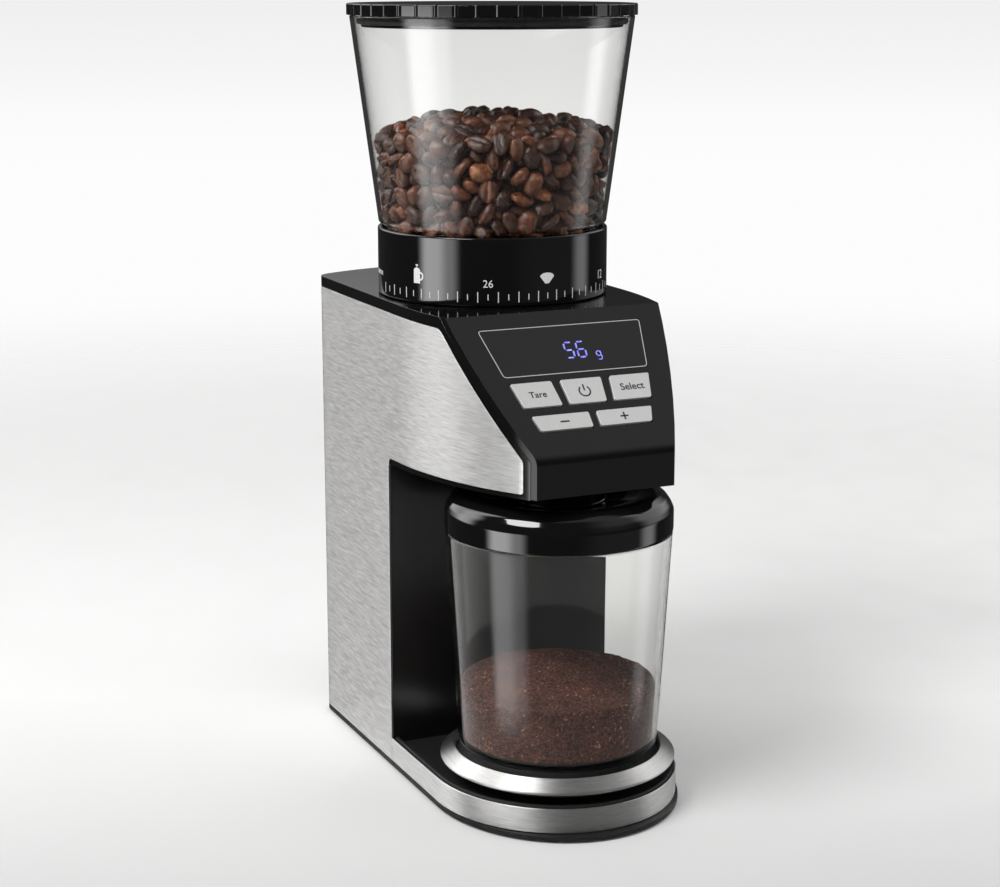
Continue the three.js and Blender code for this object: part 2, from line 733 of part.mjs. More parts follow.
const grindRing = () =>
  turned(
    [
      [40, 246.1], [57.7, 246.1], [58.3, 246.7], [58.3, 279], [57.7, 279.6], [56.1, 279.6], [56.1, 248.4],
      [40, 248.4],
    ],
    ...GRIND, ROUND,
  );

const HOPPER_TOP_Z = 384;

const hopperBin = () =>
  turned(
    [
      [22, 249.3], [24.2, 249.3], [24.2, 256.4], [55.3, 274.4], [55.3, 280.9], [57.8, 281.9],
      [71.2, HOPPER_TOP_Z], [69, HOPPER_TOP_Z], [55.7, 282.6], [53.1, 279.6], [53.1, 275.7], [22, 257.8],
    ],
    ...GRIND, ROUND,
  );

const hopperBase = () =>
  turned(
    [[24.6, 248.9], [54.8, 248.9], [54.8, 268], [52.6, 268], [52.6, 251.2], [24.6, 251.2]],
    ...GRIND, ROUND,
  );

const hopperLid = () =>
  turned(
    [
      [0, 387.2], [63.5, 387.2], [63.5, 378.6], [65.3, 378.6], [65.3, HOPPER_TOP_Z + GAP],
      [72.6, HOPPER_TOP_Z + GAP], [72.6, 389.6], [72.2, 390], [0, 390],
    ],
    ...GRIND, ROUND,
  );

const lidSeal = () =>
  turned([[65.6, 380], [67.2, 380], [68, 381.6], [67.2, 383.2], [65.6, 383.2]], ...GRIND, ROUND);

// ---- Cup ----

const CUP_RIM_Z = 139.6;

const cupBody = () =>
  turned(
    [
      [0, PAD_TOP_Z + GAP], [47, PAD_TOP_Z + GAP], [49.7, 31.9], [55.9, CUP_RIM_Z], [53.7, CUP_RIM_Z],
      [47.6, 34.6], [46, 32.8], [0, 32.8],
    ],
    0, CUP_Y, ROUND,
  );

// The cup's lid: a dished top with a filling hole in a raised neck, and a plug that fits inside the cup.
const cupLid = () =>
  turned(
    [
      [19.5, 161.8], [19.5, 152.4], [25, 152.4], [44.5, 157], [51.2, 149.5], [51.2, 138.2], [52.9, 138.2],
      [52.9, CUP_RIM_Z + GAP], [56.2, CUP_RIM_Z + GAP], [56.2, 150], [54.9, 152.9], [52.8, 155.9],
      [49.3, 158.4], [46, 159.2], [42, 158.8], [25, 154.6], [22.5, 154.4], [22.5, 161.8],
    ],
    0, CUP_Y, ROUND,
  );

// ---- Assembly ----

const finish = (color, roughness, metalness = 0) => ({ color, roughness, metalness });
const GLOSS_BLACK = finish(0x0b0b0c, 0.15);
const SATIN_BLACK = finish(0x19191a, 0.5);
const BRUSHED = finish(0xc9c7c2, 0.35, 1);
const BRIGHT_STEEL = finish(0xb8bac0, 0.25, 1);
const RUBBER = finish(0x151515, 0.9);
const CLEAR = { ...finish(0xf2f4f5, 0.03), transparent: true, opacity: 0.2 };
const KEY_SILVER = finish(0xc4c3c0, 0.45, 0.3);
const MOULDED_GREY = finish(0x3b3d40, 0.6);
const ACETAL = finish(0xe6e3da, 0.5);
const BOARD_GREEN = finish(0x1d5a34, 0.6);

const group = new THREE.Group();

function addPiece(name, geometry, look) {
  const mesh = new THREE.Mesh(geometry, new THREE.MeshStandardMaterial(look));
  mesh.name = name;
  group.add(mesh);
}

addPiece("base_plinth", basePlinth(), SATIN_BLACK);
FEET.forEach((place, i) => addPiece(`foot_${i + 1}`, rubberFoot(place), RUBBER));
BASE_SCREWS.forEach((place, i) => addPiece(`base_screw_${i + 1}`, baseScrew(place), BRIGHT_STEEL));
addPiece("base_band", baseBand(), BRUSHED);
addPiece("base_tray", baseTray(), SATIN_BLACK);
addPiece("load_cell", loadCell(), BRIGHT_STEEL);
addPiece("scale_pedestal", scalePedestal(), SATIN_BLACK);
addPiece("scale_ring", scaleRing(), BRUSHED);
addPiece("scale_pad", scalePad(), RUBBER);

addPiece("column_shell", columnShell(), GLOSS_BLACK);
addPiece("head_shell", headShell(), GLOSS_BLACK);
addPiece("side_panel_left", sidePanel(-1), BRUSHED);
addPiece("side_panel_right", sidePanel(1), BRUSHED);
addPiece("rear_cover", rearCover(), SATIN_BLACK);
addPiece("cord_gland", cordGland(), RUBBER);
addPiece("top_plate", topPlate(), GLOSS_BLACK);

addPiece("control_panel", controlPanel(), GLOSS_BLACK);
addPiece("display_window", displayWindow(), GLOSS_BLACK);
addPiece("display_module", displayModule(), MOULDED_GREY);
addPiece("display_board", displayBoard(), BOARD_GREEN);
addPiece("button_mat", buttonMat(), RUBBER);
for (const [name, corners] of Object.entries(BUTTONS)) addPiece(name, buttonCap(corners), KEY_SILVER);

addPiece("motor", motorCan(), BRIGHT_STEEL);
addPiece("motor_shaft", motorShaft(), BRIGHT_STEEL);
addPiece("motor_pinion", motorPinion(), ACETAL);
addPiece("idler_gear", idlerGear(), ACETAL);
addPiece("idler_axle", idlerAxle(), BRIGHT_STEEL);
addPiece("drive_gear", driveGear(), ACETAL);
addPiece("drive_shaft", driveShaft(), BRIGHT_STEEL);
addPiece("shaft_bearing_lower", shaftBearing(167.2), BRIGHT_STEEL);
addPiece("shaft_bearing_upper", shaftBearing(187.9), BRIGHT_STEEL);
addPiece("gearbox_case", gearboxCase(), MOULDED_GREY);
addPiece("gearbox_lid", gearboxLid(), MOULDED_GREY);
addPiece("main_board", mainBoard(), BOARD_GREEN);

addPiece("grind_chamber", grindChamber(), MOULDED_GREY);
addPiece("sweep_disc", sweepDisc(), ACETAL);
addPiece("cone_burr", coneBurr(), BRIGHT_STEEL);
addPiece("burr_nut", burrNut(), BRIGHT_STEEL);
addPiece("ring_burr", ringBurr(), BRIGHT_STEEL);
addPiece("burr_carrier", burrCarrier(), MOULDED_GREY);
addPiece("grounds_chute", groundsChute(), MOULDED_GREY);
addPiece("chute_nozzle", chuteNozzle(), SATIN_BLACK);

addPiece("grind_ring", grindRing(), GLOSS_BLACK);
addPiece("hopper", hopperBin(), CLEAR);
addPiece("hopper_base", hopperBase(), SATIN_BLACK);
addPiece("hopper_lid", hopperLid(), GLOSS_BLACK);
addPiece("lid_seal", lidSeal(), RUBBER);
addPiece("cup", cupBody(), CLEAR);
addPiece("cup_lid", cupLid(), GLOSS_BLACK);

export default group;
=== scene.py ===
"""Looks for the burr coffee grinder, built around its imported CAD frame.

Smooth surfaces stand for the faceted solids that show, and every surface gets a node material.
The beans, the ground coffee, the scale and the legends are added.
Lengths are millimetres until they reach a mesh, and +Z is up.
"""
import json
import math
import random

import bmesh
import bpy
import numpy as np
from mathutils import Matrix, Vector, noise


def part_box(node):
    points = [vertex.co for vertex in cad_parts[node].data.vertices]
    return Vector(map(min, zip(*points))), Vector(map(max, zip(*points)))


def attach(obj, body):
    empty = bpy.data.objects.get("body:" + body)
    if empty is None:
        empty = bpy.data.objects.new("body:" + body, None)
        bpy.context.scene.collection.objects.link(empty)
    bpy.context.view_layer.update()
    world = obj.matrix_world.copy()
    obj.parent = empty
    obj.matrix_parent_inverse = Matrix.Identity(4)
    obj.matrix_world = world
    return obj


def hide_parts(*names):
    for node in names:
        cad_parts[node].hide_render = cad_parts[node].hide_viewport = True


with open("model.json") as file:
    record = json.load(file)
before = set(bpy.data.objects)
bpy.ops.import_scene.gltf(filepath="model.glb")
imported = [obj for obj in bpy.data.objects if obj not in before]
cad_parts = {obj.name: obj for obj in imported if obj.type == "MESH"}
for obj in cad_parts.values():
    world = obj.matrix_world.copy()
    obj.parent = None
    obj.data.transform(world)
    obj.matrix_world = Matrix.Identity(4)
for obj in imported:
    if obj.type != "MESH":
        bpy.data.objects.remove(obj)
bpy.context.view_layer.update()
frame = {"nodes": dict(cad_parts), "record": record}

MM = 0.001


def middle(node):
    """The point midway between a node's corners, in millimetres."""
    low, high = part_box(node)
    return (low + high) / 2 / MM


# ---- Places, from the frame and the design's driving dimensions ----

GRIND_AXIS = middle("hopper").xy
CUP_AXIS = middle("cup").xy
PLATE_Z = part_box("top_plate")[1].z / MM
COLLAR_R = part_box("grind_ring")[1].x / MM
SLOPE = math.radians(46)
SLOPE_TOP = (-54, PLATE_Z)
ROUND = 192  # sides of a smooth turned piece
TINY = 1e-6  # a radius below this is a point on the axis

# Camera of the reference view.
CAMERA_PLACE = (-437.9, -951.08, 404.78)
CAMERA_TURN = (77.304, 0, -24.525)
CAMERA_LENS = 75.3
VIEW_TURN = CAMERA_TURN[2]


# ---- Node materials ----


class Nodes:
    """A node tree, and short ways to add nodes to it."""

    def __init__(self, tree):
        self.tree = tree

    @staticmethod
    def set(node, values):
        """Sets the node's sockets, by name or index."""
        for socket, value in values.items():
            node.inputs[socket].default_value = value

    def node(self, kind, links=None, **values):
        """A node with sockets linked or set, by name or index."""
        made = self.tree.nodes.new(kind)
        for socket, value in (links or {}).items():
            self.tree.links.new(value, made.inputs[socket])
        self.set(made, values)
        return made

    def constant(self, number):
        """A number, as a value to link."""
        made = self.node("ShaderNodeValue")
        made.outputs[0].default_value = number
        return made.outputs[0]

    def math(self, operation, *values):
        """The result of a Math node on linked values."""
        made = self.node("ShaderNodeMath", dict(enumerate(values)))
        made.operation = operation
        return made.outputs[0]

    def ramp(self, value, start, end, low, high, kind="SMOOTHSTEP"):
        """A step from low to high while value goes from start to end."""
        made = self.node("ShaderNodeMapRange", {"Value": value})
        self.set(made, {"From Min": start, "From Max": end, "To Min": low, "To Max": high})
        made.interpolation_type = kind
        return made.outputs[0]


class Finish(Nodes):
    """A Principled material with procedural colour, roughness and relief in object space."""

    def __init__(self, name, color, roughness, metallic=0.0, **sockets):
        self.material = bpy.data.materials.new(name)
        self.material.use_nodes = True
        super().__init__(self.material.node_tree)
        self.shader = self.tree.nodes["Principled BSDF"]
        self.place = self.tree.nodes.new("ShaderNodeTexCoord").outputs["Object"]
        values = {"Base Color": (*color, 1), "Roughness": roughness, "Metallic": metallic}
        self.set(self.shader, {**values, **sockets})

    def noise(self, size, stretch=(1, 1, 1), detail=3.0, rough=0.5):
        """Noise with features of about size millimetres, longer along the axes where stretch is above 1."""
        scale = [1 / (size * MM * s) for s in stretch]
        mapping = self.node("ShaderNodeMapping", {"Vector": self.place}, Scale=scale)
        made = self.node("ShaderNodeTexNoise", {"Vector": mapping.outputs[0]}, Scale=1.0)
        self.set(made, {"Detail": detail, "Roughness": rough})
        return made.outputs[0]

    def cells(self, size, output="Distance"):
        """Voronoi cells of about size millimetres."""
        made = self.node("ShaderNodeTexVoronoi", {"Vector": self.place}, Scale=1 / (size * MM))
        return made.outputs[output]

    def spread(self, value, low, high, start=0.3, end=0.7):
        """value mapped evenly from start…end to low…high."""
        return self.ramp(value, start, end, low, high, "LINEAR")

    def tones(self, value, *stops):
        """A colour ramp over value; stops are (position, colour)."""
        made = self.node("ShaderNodeValToRGB", {"Fac": value})
        ramp = made.color_ramp
        while len(ramp.elements) < len(stops):
            ramp.elements.new(0.5)
        for element, (position, color) in zip(ramp.elements, stops):
            element.position = position
            element.color = (*color, 1)
        return made.outputs["Color"]

    def attribute(self, name):
        """A value that the mesh holds for each vertex."""
        made = self.node("ShaderNodeAttribute")
        made.attribute_name = name
        return made.outputs["Fac"]

    def drive(self, socket, value):
        """Links value to a socket of the shader."""
        self.tree.links.new(value, self.shader.inputs[socket])

    def relief(self, height, depth, strength=1.0):
        """Bump of about depth millimetres, added over any relief already there."""
        links = {"Height": height}
        if self.shader.inputs["Normal"].is_linked:
            links["Normal"] = self.shader.inputs["Normal"].links[0].from_socket
        made = self.node("ShaderNodeBump", links, Strength=strength, Distance=depth * MM)
        self.drive("Normal", made.outputs["Normal"])

    def blend(self, share, other):
        """Shows another shader in place of this one where share is 1."""
        links = {0: share, 1: self.shader.outputs[0], 2: other.outputs[0]}
        mixed = self.node("ShaderNodeMixShader", links)
        self.tree.links.new(mixed.outputs[0], self.tree.nodes["Material Output"].inputs["Surface"])


def shade(color, factor):
    """A colour made darker or paler by a factor."""
    return tuple(c * factor for c in color)


def moulded_plastic(name, color, roughness, spread=0.06, pebble=0.35, depth=0.01):
    """Moulded plastic: uneven gloss and a fine pebbled or wavy skin."""
    made = Finish(name, color, roughness)
    made.drive("Roughness", made.spread(made.noise(14), roughness - spread, roughness + spread))
    made.relief(made.noise(pebble), depth, 0.5)
    return made.material


def brushed_metal(name, color, roughness, length=60, width=0.1, depth=0.0025):
    """Sheet brushed along the horizontal, which draws its highlights out upwards."""
    made = Finish(name, color, roughness, 1.0, **{"Anisotropic": 0.9, "Anisotropic Rotation": 0.25})
    tangent = made.node("ShaderNodeTangent")
    tangent.direction_type = "RADIAL"
    tangent.axis = "Z"
    made.drive("Tangent", tangent.outputs[0])
    scratches = made.noise(width, (length, length, 1), detail=6.0, rough=0.7)
    strokes = made.noise(width * 7, (14, 14, 1), detail=3.0)
    both = made.math("ADD", scratches, strokes)
    grain = made.math("MULTIPLY", both, made.constant(0.5))
    made.drive("Base Color", made.tones(grain, (0.32, shade(color, 0.72)), (0.68, shade(color, 1.06))))
    made.drive("Roughness", made.spread(strokes, roughness - 0.06, roughness + 0.06))
    made.relief(scratches, depth, 0.6)
    made.relief(strokes, depth * 2, 0.5)
    return made.material


def turned_metal(name, color, roughness):
    """Machined metal with fine tool marks and a little staining."""
    made = Finish(name, color, roughness, 1.0)
    marks = made.noise(0.25, (8, 8, 1), detail=4.0)
    made.drive("Roughness", made.spread(made.noise(6), roughness - 0.07, roughness + 0.1))
    made.drive("Base Color", made.tones(marks, (0.3, shade(color, 0.75)), (0.7, color)))
    made.relief(marks, 0.01, 0.4)
    return made.material


def clear_plastic(name, tint=(0.93, 0.93, 0.92)):
    """Clear polished plastic that lets lamps light what it holds, with faint handling haze."""
    made = Finish(name, tint, 0.0, **{"Transmission Weight": 1.0, "IOR": 1.3})
    made.drive("Roughness", made.spread(made.noise(9), 0.0, 0.015, 0.45, 0.75))
    made.relief(made.noise(25), 0.01, 0.1)
    lamp = made.node("ShaderNodeLightPath").outputs["Is Shadow Ray"]
    made.blend(lamp, made.node("ShaderNodeBsdfTransparent", Color=(0.93, 0.935, 0.935, 1)))
    return made.material


def key_paint():
    """Silver paint over moulded keys: fine flake and soft wear in the gloss."""
    made = Finish("key_silver", (0.62, 0.62, 0.615), 0.42, 0.55)
    flake = made.noise(0.12, detail=1.0)
    made.drive("Base Color", made.tones(flake, (0.3, (0.52, 0.52, 0.515)), (0.7, (0.7, 0.7, 0.695))))
    made.drive("Roughness", made.spread(made.noise(5), 0.36, 0.48))
    made.relief(flake, 0.01, 0.3)
    return made.material


def soft_rubber():
    """Black rubber: dull, with a soft grain."""
    made = Finish("rubber_black", (0.018, 0.018, 0.019), 0.75)
    made.drive("Roughness", made.spread(made.noise(4), 0.62, 0.85))
    made.relief(made.noise(0.5), 0.03, 0.6)
    return made.material


def circuit_board():
    """Green solder mask with a lighter net of copper tracks under it."""
    made = Finish("board_green", (0.015, 0.12, 0.045), 0.35)
    tracks = made.cells(3.2)
    made.drive("Base Color", made.tones(tracks, (0.05, (0.03, 0.2, 0.09)), (0.16, (0.012, 0.1, 0.04))))
    made.relief(tracks, 0.02, 0.3)
    return made.material


def printed_ink(name, color):
    """Screen-printed ink, a little uneven in cover."""
    made = Finish(name, color, 0.4)
    cover = made.noise(0.6)
    made.drive("Base Color", made.tones(cover, (0.3, shade(color, 0.8)), (0.6, color)))
    made.relief(cover, 0.004, 0.4)
    return made.material


def lit_segment():
    """A lit display segment: almost white in its middle, blue where the light thins."""
    made = Finish("lit_segment", (0.02, 0.02, 0.05), 0.3, **{"Emission Strength": 1.3})
    glow = made.noise(1.2)
    made.drive("Emission Color", made.tones(glow, (0.35, (0.1, 0.1, 0.75)), (0.65, (0.42, 0.42, 1.0))))
    return made.material


def bean_skin():
    """Roasted skin: each bean has its own tone and blotches, an oily sheen, and a crease painted darker as
    shade on some beans and paler with chaff on others.
    """
    made = Finish("bean_skin", (0.09, 0.035, 0.02), 0.36, **{"Specular IOR Level": 0.6})
    blotch = made.spread(made.noise(2.4, detail=5.0), -0.25, 0.25)
    skin = made.math("ADD", made.attribute("tone"), blotch)
    dark, brown = (0.0, (0.02, 0.007, 0.004)), (0.35, (0.06, 0.019, 0.008))
    light, chaff = (0.7, (0.15, 0.047, 0.018)), (1.0, (0.4, 0.17, 0.075))
    # The crease share darkens the crease as painted shade on some beans and lightens it with pale chaff on
    # others.
    value = made.math("ADD", skin, made.attribute("crease"))
    made.drive("Base Color", made.tones(value, dark, brown, light, chaff))
    made.drive("Roughness", made.spread(made.noise(3), 0.24, 0.44))
    made.relief(made.noise(1.5, detail=4.0), 0.45, 0.9)
    made.relief(made.noise(0.4), 0.08, 0.6)
    return made.material


def ground_coffee():
    """Ground coffee: reddish brown grains, a few dark and a few pale; the palest stand both for chaff and for
    painted glints of light on the grains.
    """
    made = Finish("ground_coffee", (0.09, 0.035, 0.02), 0.7)
    grain = 0.95
    patch = made.spread(made.noise(14), -0.1, 0.1)
    dark, brown = (0.0, (0.01, 0.0035, 0.002)), (0.4, (0.055, 0.0165, 0.0095))
    # The palest stop is partly pale chaff and partly painted glints, the sparkle of light on single grains.
    light, chaff = (0.85, (0.15, 0.046, 0.026)), (1.0, (0.5, 0.25, 0.16))
    value = made.math("ADD", made.cells(grain, "Color"), patch)
    made.drive("Base Color", made.tones(value, dark, brown, light, chaff))
    made.relief(made.cells(grain), 0.9, 1.0)
    made.relief(made.noise(0.4), 0.25, 0.7)
    return made.material


DEEP_BLACK = (0.004, 0.004, 0.0042)
WAVY = (0.02, 9.0, 0.002)  # spread, pebble and depth of a smooth skin with faint waves
FINISHES = {
    "gloss_black": moulded_plastic("gloss_black", DEEP_BLACK, 0.07, *WAVY),
    "column_black": moulded_plastic("column_black", DEEP_BLACK, 0.3, *WAVY),
    "satin_black": moulded_plastic("satin_black", (0.012, 0.012, 0.0125), 0.42),
    "display_glass": moulded_plastic("display_glass", (0.006, 0.006, 0.007), 0.14, 0.02, 8.0, 0.002),
    "moulded_grey": moulded_plastic("moulded_grey", (0.05, 0.052, 0.056), 0.55),
    "acetal": moulded_plastic("acetal", (0.75, 0.72, 0.65), 0.4),
    "brushed_steel": brushed_metal("brushed_steel", (0.8, 0.795, 0.78), 0.5),
    "machined_steel": turned_metal("machined_steel", (0.5, 0.51, 0.53), 0.3),
    "cell_aluminium": turned_metal("cell_aluminium", (0.75, 0.76, 0.78), 0.35),
    "clear_plastic": clear_plastic("clear_plastic"),
    "key_silver": key_paint(),
    "rubber_black": soft_rubber(),
    "board_green": circuit_board(),
}
WHITE_INK = printed_ink("white_ink", (0.75, 0.75, 0.74))
GREY_INK = printed_ink("grey_ink", (0.42, 0.42, 0.42))
BLACK_INK = printed_ink("black_ink", (0.012, 0.012, 0.012))
LIT = lit_segment()

SLOT_OF = {row["node"]: row["material_slot"] for row in frame["record"]["subparts"]}
FINISH_OF = {**SLOT_OF, "column_shell": "column_black"}
BODIES = frame["record"]["behaviour"]["bodies"]
BODY_OF = {node: body for body, nodes in BODIES.items() for node in nodes}
for node_name, node_object in frame["nodes"].items():
    node_object.data.materials.clear()
    node_object.data.materials.append(FINISHES[FINISH_OF[node_name]])


# ---- Making pieces ----

SHARP = math.radians(38)  # edges that bend by more than this stay sharp


def linked(name, data):
    """A new object of that data, in the scene."""
    made = bpy.data.objects.new(name, data)
    bpy.context.scene.collection.objects.link(made)
    return made


def piece_from(bm, name, body, material):
    """An object of that mesh, riding on a body."""
    mesh = bpy.data.meshes.new(name)
    bm.normal_update()
    bm.to_mesh(mesh)
    bm.free()
    mesh.shade_smooth()
    mesh.set_sharp_from_angle(angle=SHARP)
    mesh.materials.append(material)
    made = linked(name, mesh)
    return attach(made, body)


def stand_for(bm, node):
    """Shows that mesh in place of a CAD node, in the node's own material slot."""
    piece = piece_from(bm, f"{node}_skin", BODY_OF[node], FINISHES[FINISH_OF[node]])
    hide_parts(node)
    weighted = piece.modifiers.new("flat_faces", "WEIGHTED_NORMAL")
    weighted.keep_sharp = True


def along_x(edge, y, z, reach=1.0):
    """Whether an edge runs across the grinder through that place in millimetres."""
    return all(abs(v.co.y / MM - y) < reach and abs(v.co.z / MM - z) < reach for v in edge.verts)


def bevel(bm, edges, width, segments):
    """Rounds edges over width millimetres."""
    shape = {"segments": segments, "profile": 0.5, "affect": "EDGES", "clamp_overlap": True}
    bmesh.ops.bevel(bm, geom=edges, offset=width * MM, **shape)


def soften(node, width, crease=None):
    """The node's solid with its edges rounded over width millimetres, and more at crease (y, z, width)."""
    bm = bmesh.new()
    bm.from_mesh(frame["nodes"][node].data)
    bmesh.ops.remove_doubles(bm, verts=bm.verts, dist=0.002 * MM)
    bmesh.ops.dissolve_limit(bm, angle_limit=math.radians(0.6), verts=bm.verts, edges=bm.edges)
    if crease:
        y, z, wide = crease
        bend = [edge for edge in bm.edges if along_x(edge, y, z) and edge.is_manifold]
        bevel(bm, bend, wide, 8)
    sharp = [edge for edge in bm.edges if edge.is_manifold and edge.calc_face_angle() > math.radians(20)]
    bevel(bm, sharp, width, 3)
    stand_for(bm, node)


def curve_at(start, corner, end, steps=4):
    """Points of a smooth curve from start to end that bends towards corner."""
    shares = [step / steps for step in range(steps + 1)]
    return [start.lerp(corner, share).lerp(corner.lerp(end, share), share) for share in shares]


def rounded(profile, radius, closed):
    """The profile with each corner eased over radius millimetres. An open profile keeps its two ends."""
    count = len(profile)
    points = []
    for i, (r, z) in enumerate(profile):
        corner = Vector((r, z))
        if not closed and i in (0, count - 1):
            points.append(corner)
            continue
        before = Vector(profile[i - 1]) - corner
        after = Vector(profile[(i + 1) % count]) - corner
        ease = min(radius, 0.45 * before.length, 0.45 * after.length)
        start, end = corner + before.normalized() * ease, corner + after.normalized() * ease
        points += curve_at(start, corner, end)
    return points


def faces_between(rings, closed=False):
    """Faces from each ring of points to the next. A ring may be one point over and over."""
    pairs = list(zip(rings, rings[1:])) + ([(rings[-1], rings[0])] if closed else [])
    for low, high in pairs:
        for i in range(len(low)):
            j = (i + 1) % len(low)
            face = tuple(dict.fromkeys((low[i], low[j], high[j], high[i])))
            if len(face) > 2:
                yield face


def lathe(profile, axis, radius, wave=None, sides=ROUND):
    """A bmesh of (radius, height) pairs turned about a vertical axis. wave(angle, r, z) may shift r."""
    closed = profile[0][0] > 0
    points = rounded(profile, radius, closed)
    bm = bmesh.new()
    rings = []
    for r, z in points:
        if r < TINY:
            rings.append([bm.verts.new((axis[0] * MM, axis[1] * MM, z * MM))] * sides)
            continue
        ring = []
        for i in range(sides):
            angle = 2 * math.pi * i / sides
            reach = r + (wave(angle, r, z) if wave else 0)
            place = (axis[0] + reach * math.cos(angle), axis[1] + reach * math.sin(angle), z)
            ring.append(bm.verts.new(Vector(place) * MM))
        rings.append(ring)
    for face in faces_between(rings, closed):
        bm.faces.new(face)
    return bm


def prism(bm, outline, low, high):
    """Adds a closed solid between two heights over a plan outline, and returns its vertices."""
    floor = [bm.verts.new((x, y, low)) for x, y in outline]
    roof = [bm.verts.new((x, y, high)) for x, y in outline]
    bm.faces.new(floor[::-1])
    bm.faces.new(roof)
    for i in range(len(outline)):
        j = (i + 1) % len(outline)
        bm.faces.new((floor[i], floor[j], roof[j], roof[i]))
    return floor + roof


def box_mesh(bm, x, y, z):
    """Adds a box between pairs of places along each axis."""
    corners = [(x[0], y[0]), (x[1], y[0]), (x[1], y[1]), (x[0], y[1])]
    return prism(bm, corners, *z)


def ribbon(bm, outline, width, low, high):
    """Adds a closed band of that width along the inside of a convex outline, given anticlockwise."""
    count = len(outline)
    inner = []
    for i, point in enumerate(outline):
        before, after = Vector(outline[i - 1]), Vector(outline[(i + 1) % count])
        along = (after - before).normalized()
        inner.append(Vector(point) + Vector((-along.y, along.x)) * width)
    for i in range(count):
        j = (i + 1) % count
        prism(bm, [outline[i], outline[j], inner[j], inner[i]], low, high)


def lettering(text, width, depth, bold=0.0):
    """A bmesh of plain letters, width millimetres wide and centred on the origin, with its back at Z 0."""
    curve = bpy.data.curves.new("letters", "FONT")
    curve.body = text
    curve.offset = bold
    curve.resolution_u = 4
    curve.align_x = "CENTER"
    curve.align_y = "CENTER"
    holder = linked("letters", curve)
    bpy.context.view_layer.update()
    mesh = bpy.data.meshes.new_from_object(holder)
    bpy.data.objects.remove(holder)
    bm = bmesh.new()
    bm.from_mesh(mesh)
    bpy.data.meshes.remove(mesh)
    low = Vector(min(v.co[i] for v in bm.verts) for i in range(3))
    high = Vector(max(v.co[i] for v in bm.verts) for i in range(3))
    bmesh.ops.translate(bm, vec=-(low + high) / 2, verts=bm.verts)
    scale = width / (high.x - low.x)
    bmesh.ops.scale(bm, vec=(scale, scale, 1), verts=bm.verts)
    bmesh.ops.remove_doubles(bm, verts=bm.verts, dist=0.001)
    raised = bmesh.ops.extrude_face_region(bm, geom=bm.faces[:])
    tops = [v for v in raised["geom"] if isinstance(v, bmesh.types.BMVert)]
    bmesh.ops.translate(bm, vec=(0, 0, depth), verts=tops)
    bmesh.ops.recalc_face_normals(bm, faces=bm.faces)
    return bm


def slice_across(bm, pitch=0.4):
    """Cuts a flat figure at every pitch along X, so that it can follow a round surface."""
    low = min(v.co.x for v in bm.verts)
    high = max(v.co.x for v in bm.verts)
    x = low + pitch
    while x < high:
        geom = bm.verts[:] + bm.edges[:] + bm.faces[:]
        bmesh.ops.bisect_plane(bm, geom=geom, plane_co=(x, 0, 0), plane_no=(1, 0, 0))
        x += pitch
    return bm


def merge(target, other, place):
    """Moves other's vertices by place(co) and adds them to target."""
    for vert in other.verts:
        vert.co = place(vert.co)
    mesh = bpy.data.meshes.new("part")
    other.to_mesh(mesh)
    other.free()
    target.from_mesh(mesh)
    bpy.data.meshes.remove(mesh)


# ---- Turned pieces ----

FLATS = 45
STEPS_PER_FLAT = 20
LID_RIM_R = 70  # the lid's rim starts outside this radius
RIB = 0.35
RIB_SHARES = (1.0, 0.75, -0.2)  # rise over the flats, as a share of RIB, from a rib's middle outwards
HOPPER_RIM_Z = 384
HOPPER_FOOT, HOPPER_RIM = (55.7, 282.6), (69, HOPPER_RIM_Z)  # ends of its inner wall: radius, height
CUP_FOOT, CUP_RIM = (47.6, 34.6), (53.7, 139.6)


def ribbed(angle, r, z):
    """Shifts the lid's rim to flats that meet in small round ribs."""
    if r < LID_RIM_R or z < HOPPER_RIM_Z:
        return 0
    pitch = 2 * math.pi / FLATS
    off = (angle / pitch + 0.5) % 1 - 0.5
    step = round(abs(off) * STEPS_PER_FLAT)
    from_middle = (0.5 - abs(off)) * pitch
    flat = r * (math.cos(pitch / 2) / math.cos(from_middle) - 1) - RIB
    return flat + RIB * RIB_SHARES[step] if step < len(RIB_SHARES) else flat


def turn(node, axis, radius, profile, wave=None, sides=ROUND):
    """A smooth turned piece in place of a CAD node, with corners rounded over radius."""
    stand_for(lathe(profile, axis, radius, wave, sides), node)


hopper = [(22, 249.3), (24.2, 249.3), (24.2, 256.4), (55.3, 274.4), (55.3, 280.9), (57.8, 281.9)]
hopper += [(71.2, HOPPER_RIM_Z), HOPPER_RIM, HOPPER_FOOT, (53.1, 279.6), (53.1, 275.7), (22, 257.8)]
turn("hopper", GRIND_AXIS, 0.8, hopper)
lid = [(0, 387.2), (63.5, 387.2), (63.5, 378.6), (65.3, 378.6), (65.3, 384.3), (72.6, 384.3)]
lid += [(72.6, 389.6), (72.2, 390), (0, 390)]
turn("hopper_lid", GRIND_AXIS, 0.35, lid, ribbed, FLATS * STEPS_PER_FLAT)
turn("lid_seal", GRIND_AXIS, 0.4, [(65.6, 380), (67.2, 380), (68, 381.6), (67.2, 383.2), (65.6, 383.2)])
collar = [(40, 246.1), (57.7, 246.1), (58.3, 246.7), (58.3, 279), (57.7, 279.6), (56.1, 279.6)]
turn("grind_ring", GRIND_AXIS, 0.5, [*collar, (56.1, 248.4), (40, 248.4)])
base = [(24.6, 248.9), (54.8, 248.9), (54.8, 268), (52.6, 268), (52.6, 251.2), (24.6, 251.2)]
turn("hopper_base", GRIND_AXIS, 0.3, base)
cup = [(0, 29.5), (47, 29.5), (49.7, 31.9), (55.9, 139.6), CUP_RIM, CUP_FOOT, (46, 32.8), (0, 32.8)]
turn("cup", CUP_AXIS, 0.9, cup)
cup_lid = [(19.5, 161.8), (19.5, 152.4), (25, 152.4), (44.5, 157), (51.2, 149.5), (51.2, 138.2)]
cup_lid += [(52.9, 138.2), (52.9, 139.9), (56.2, 139.9), (56.2, 150), (54.9, 152.9), (52.8, 155.9)]
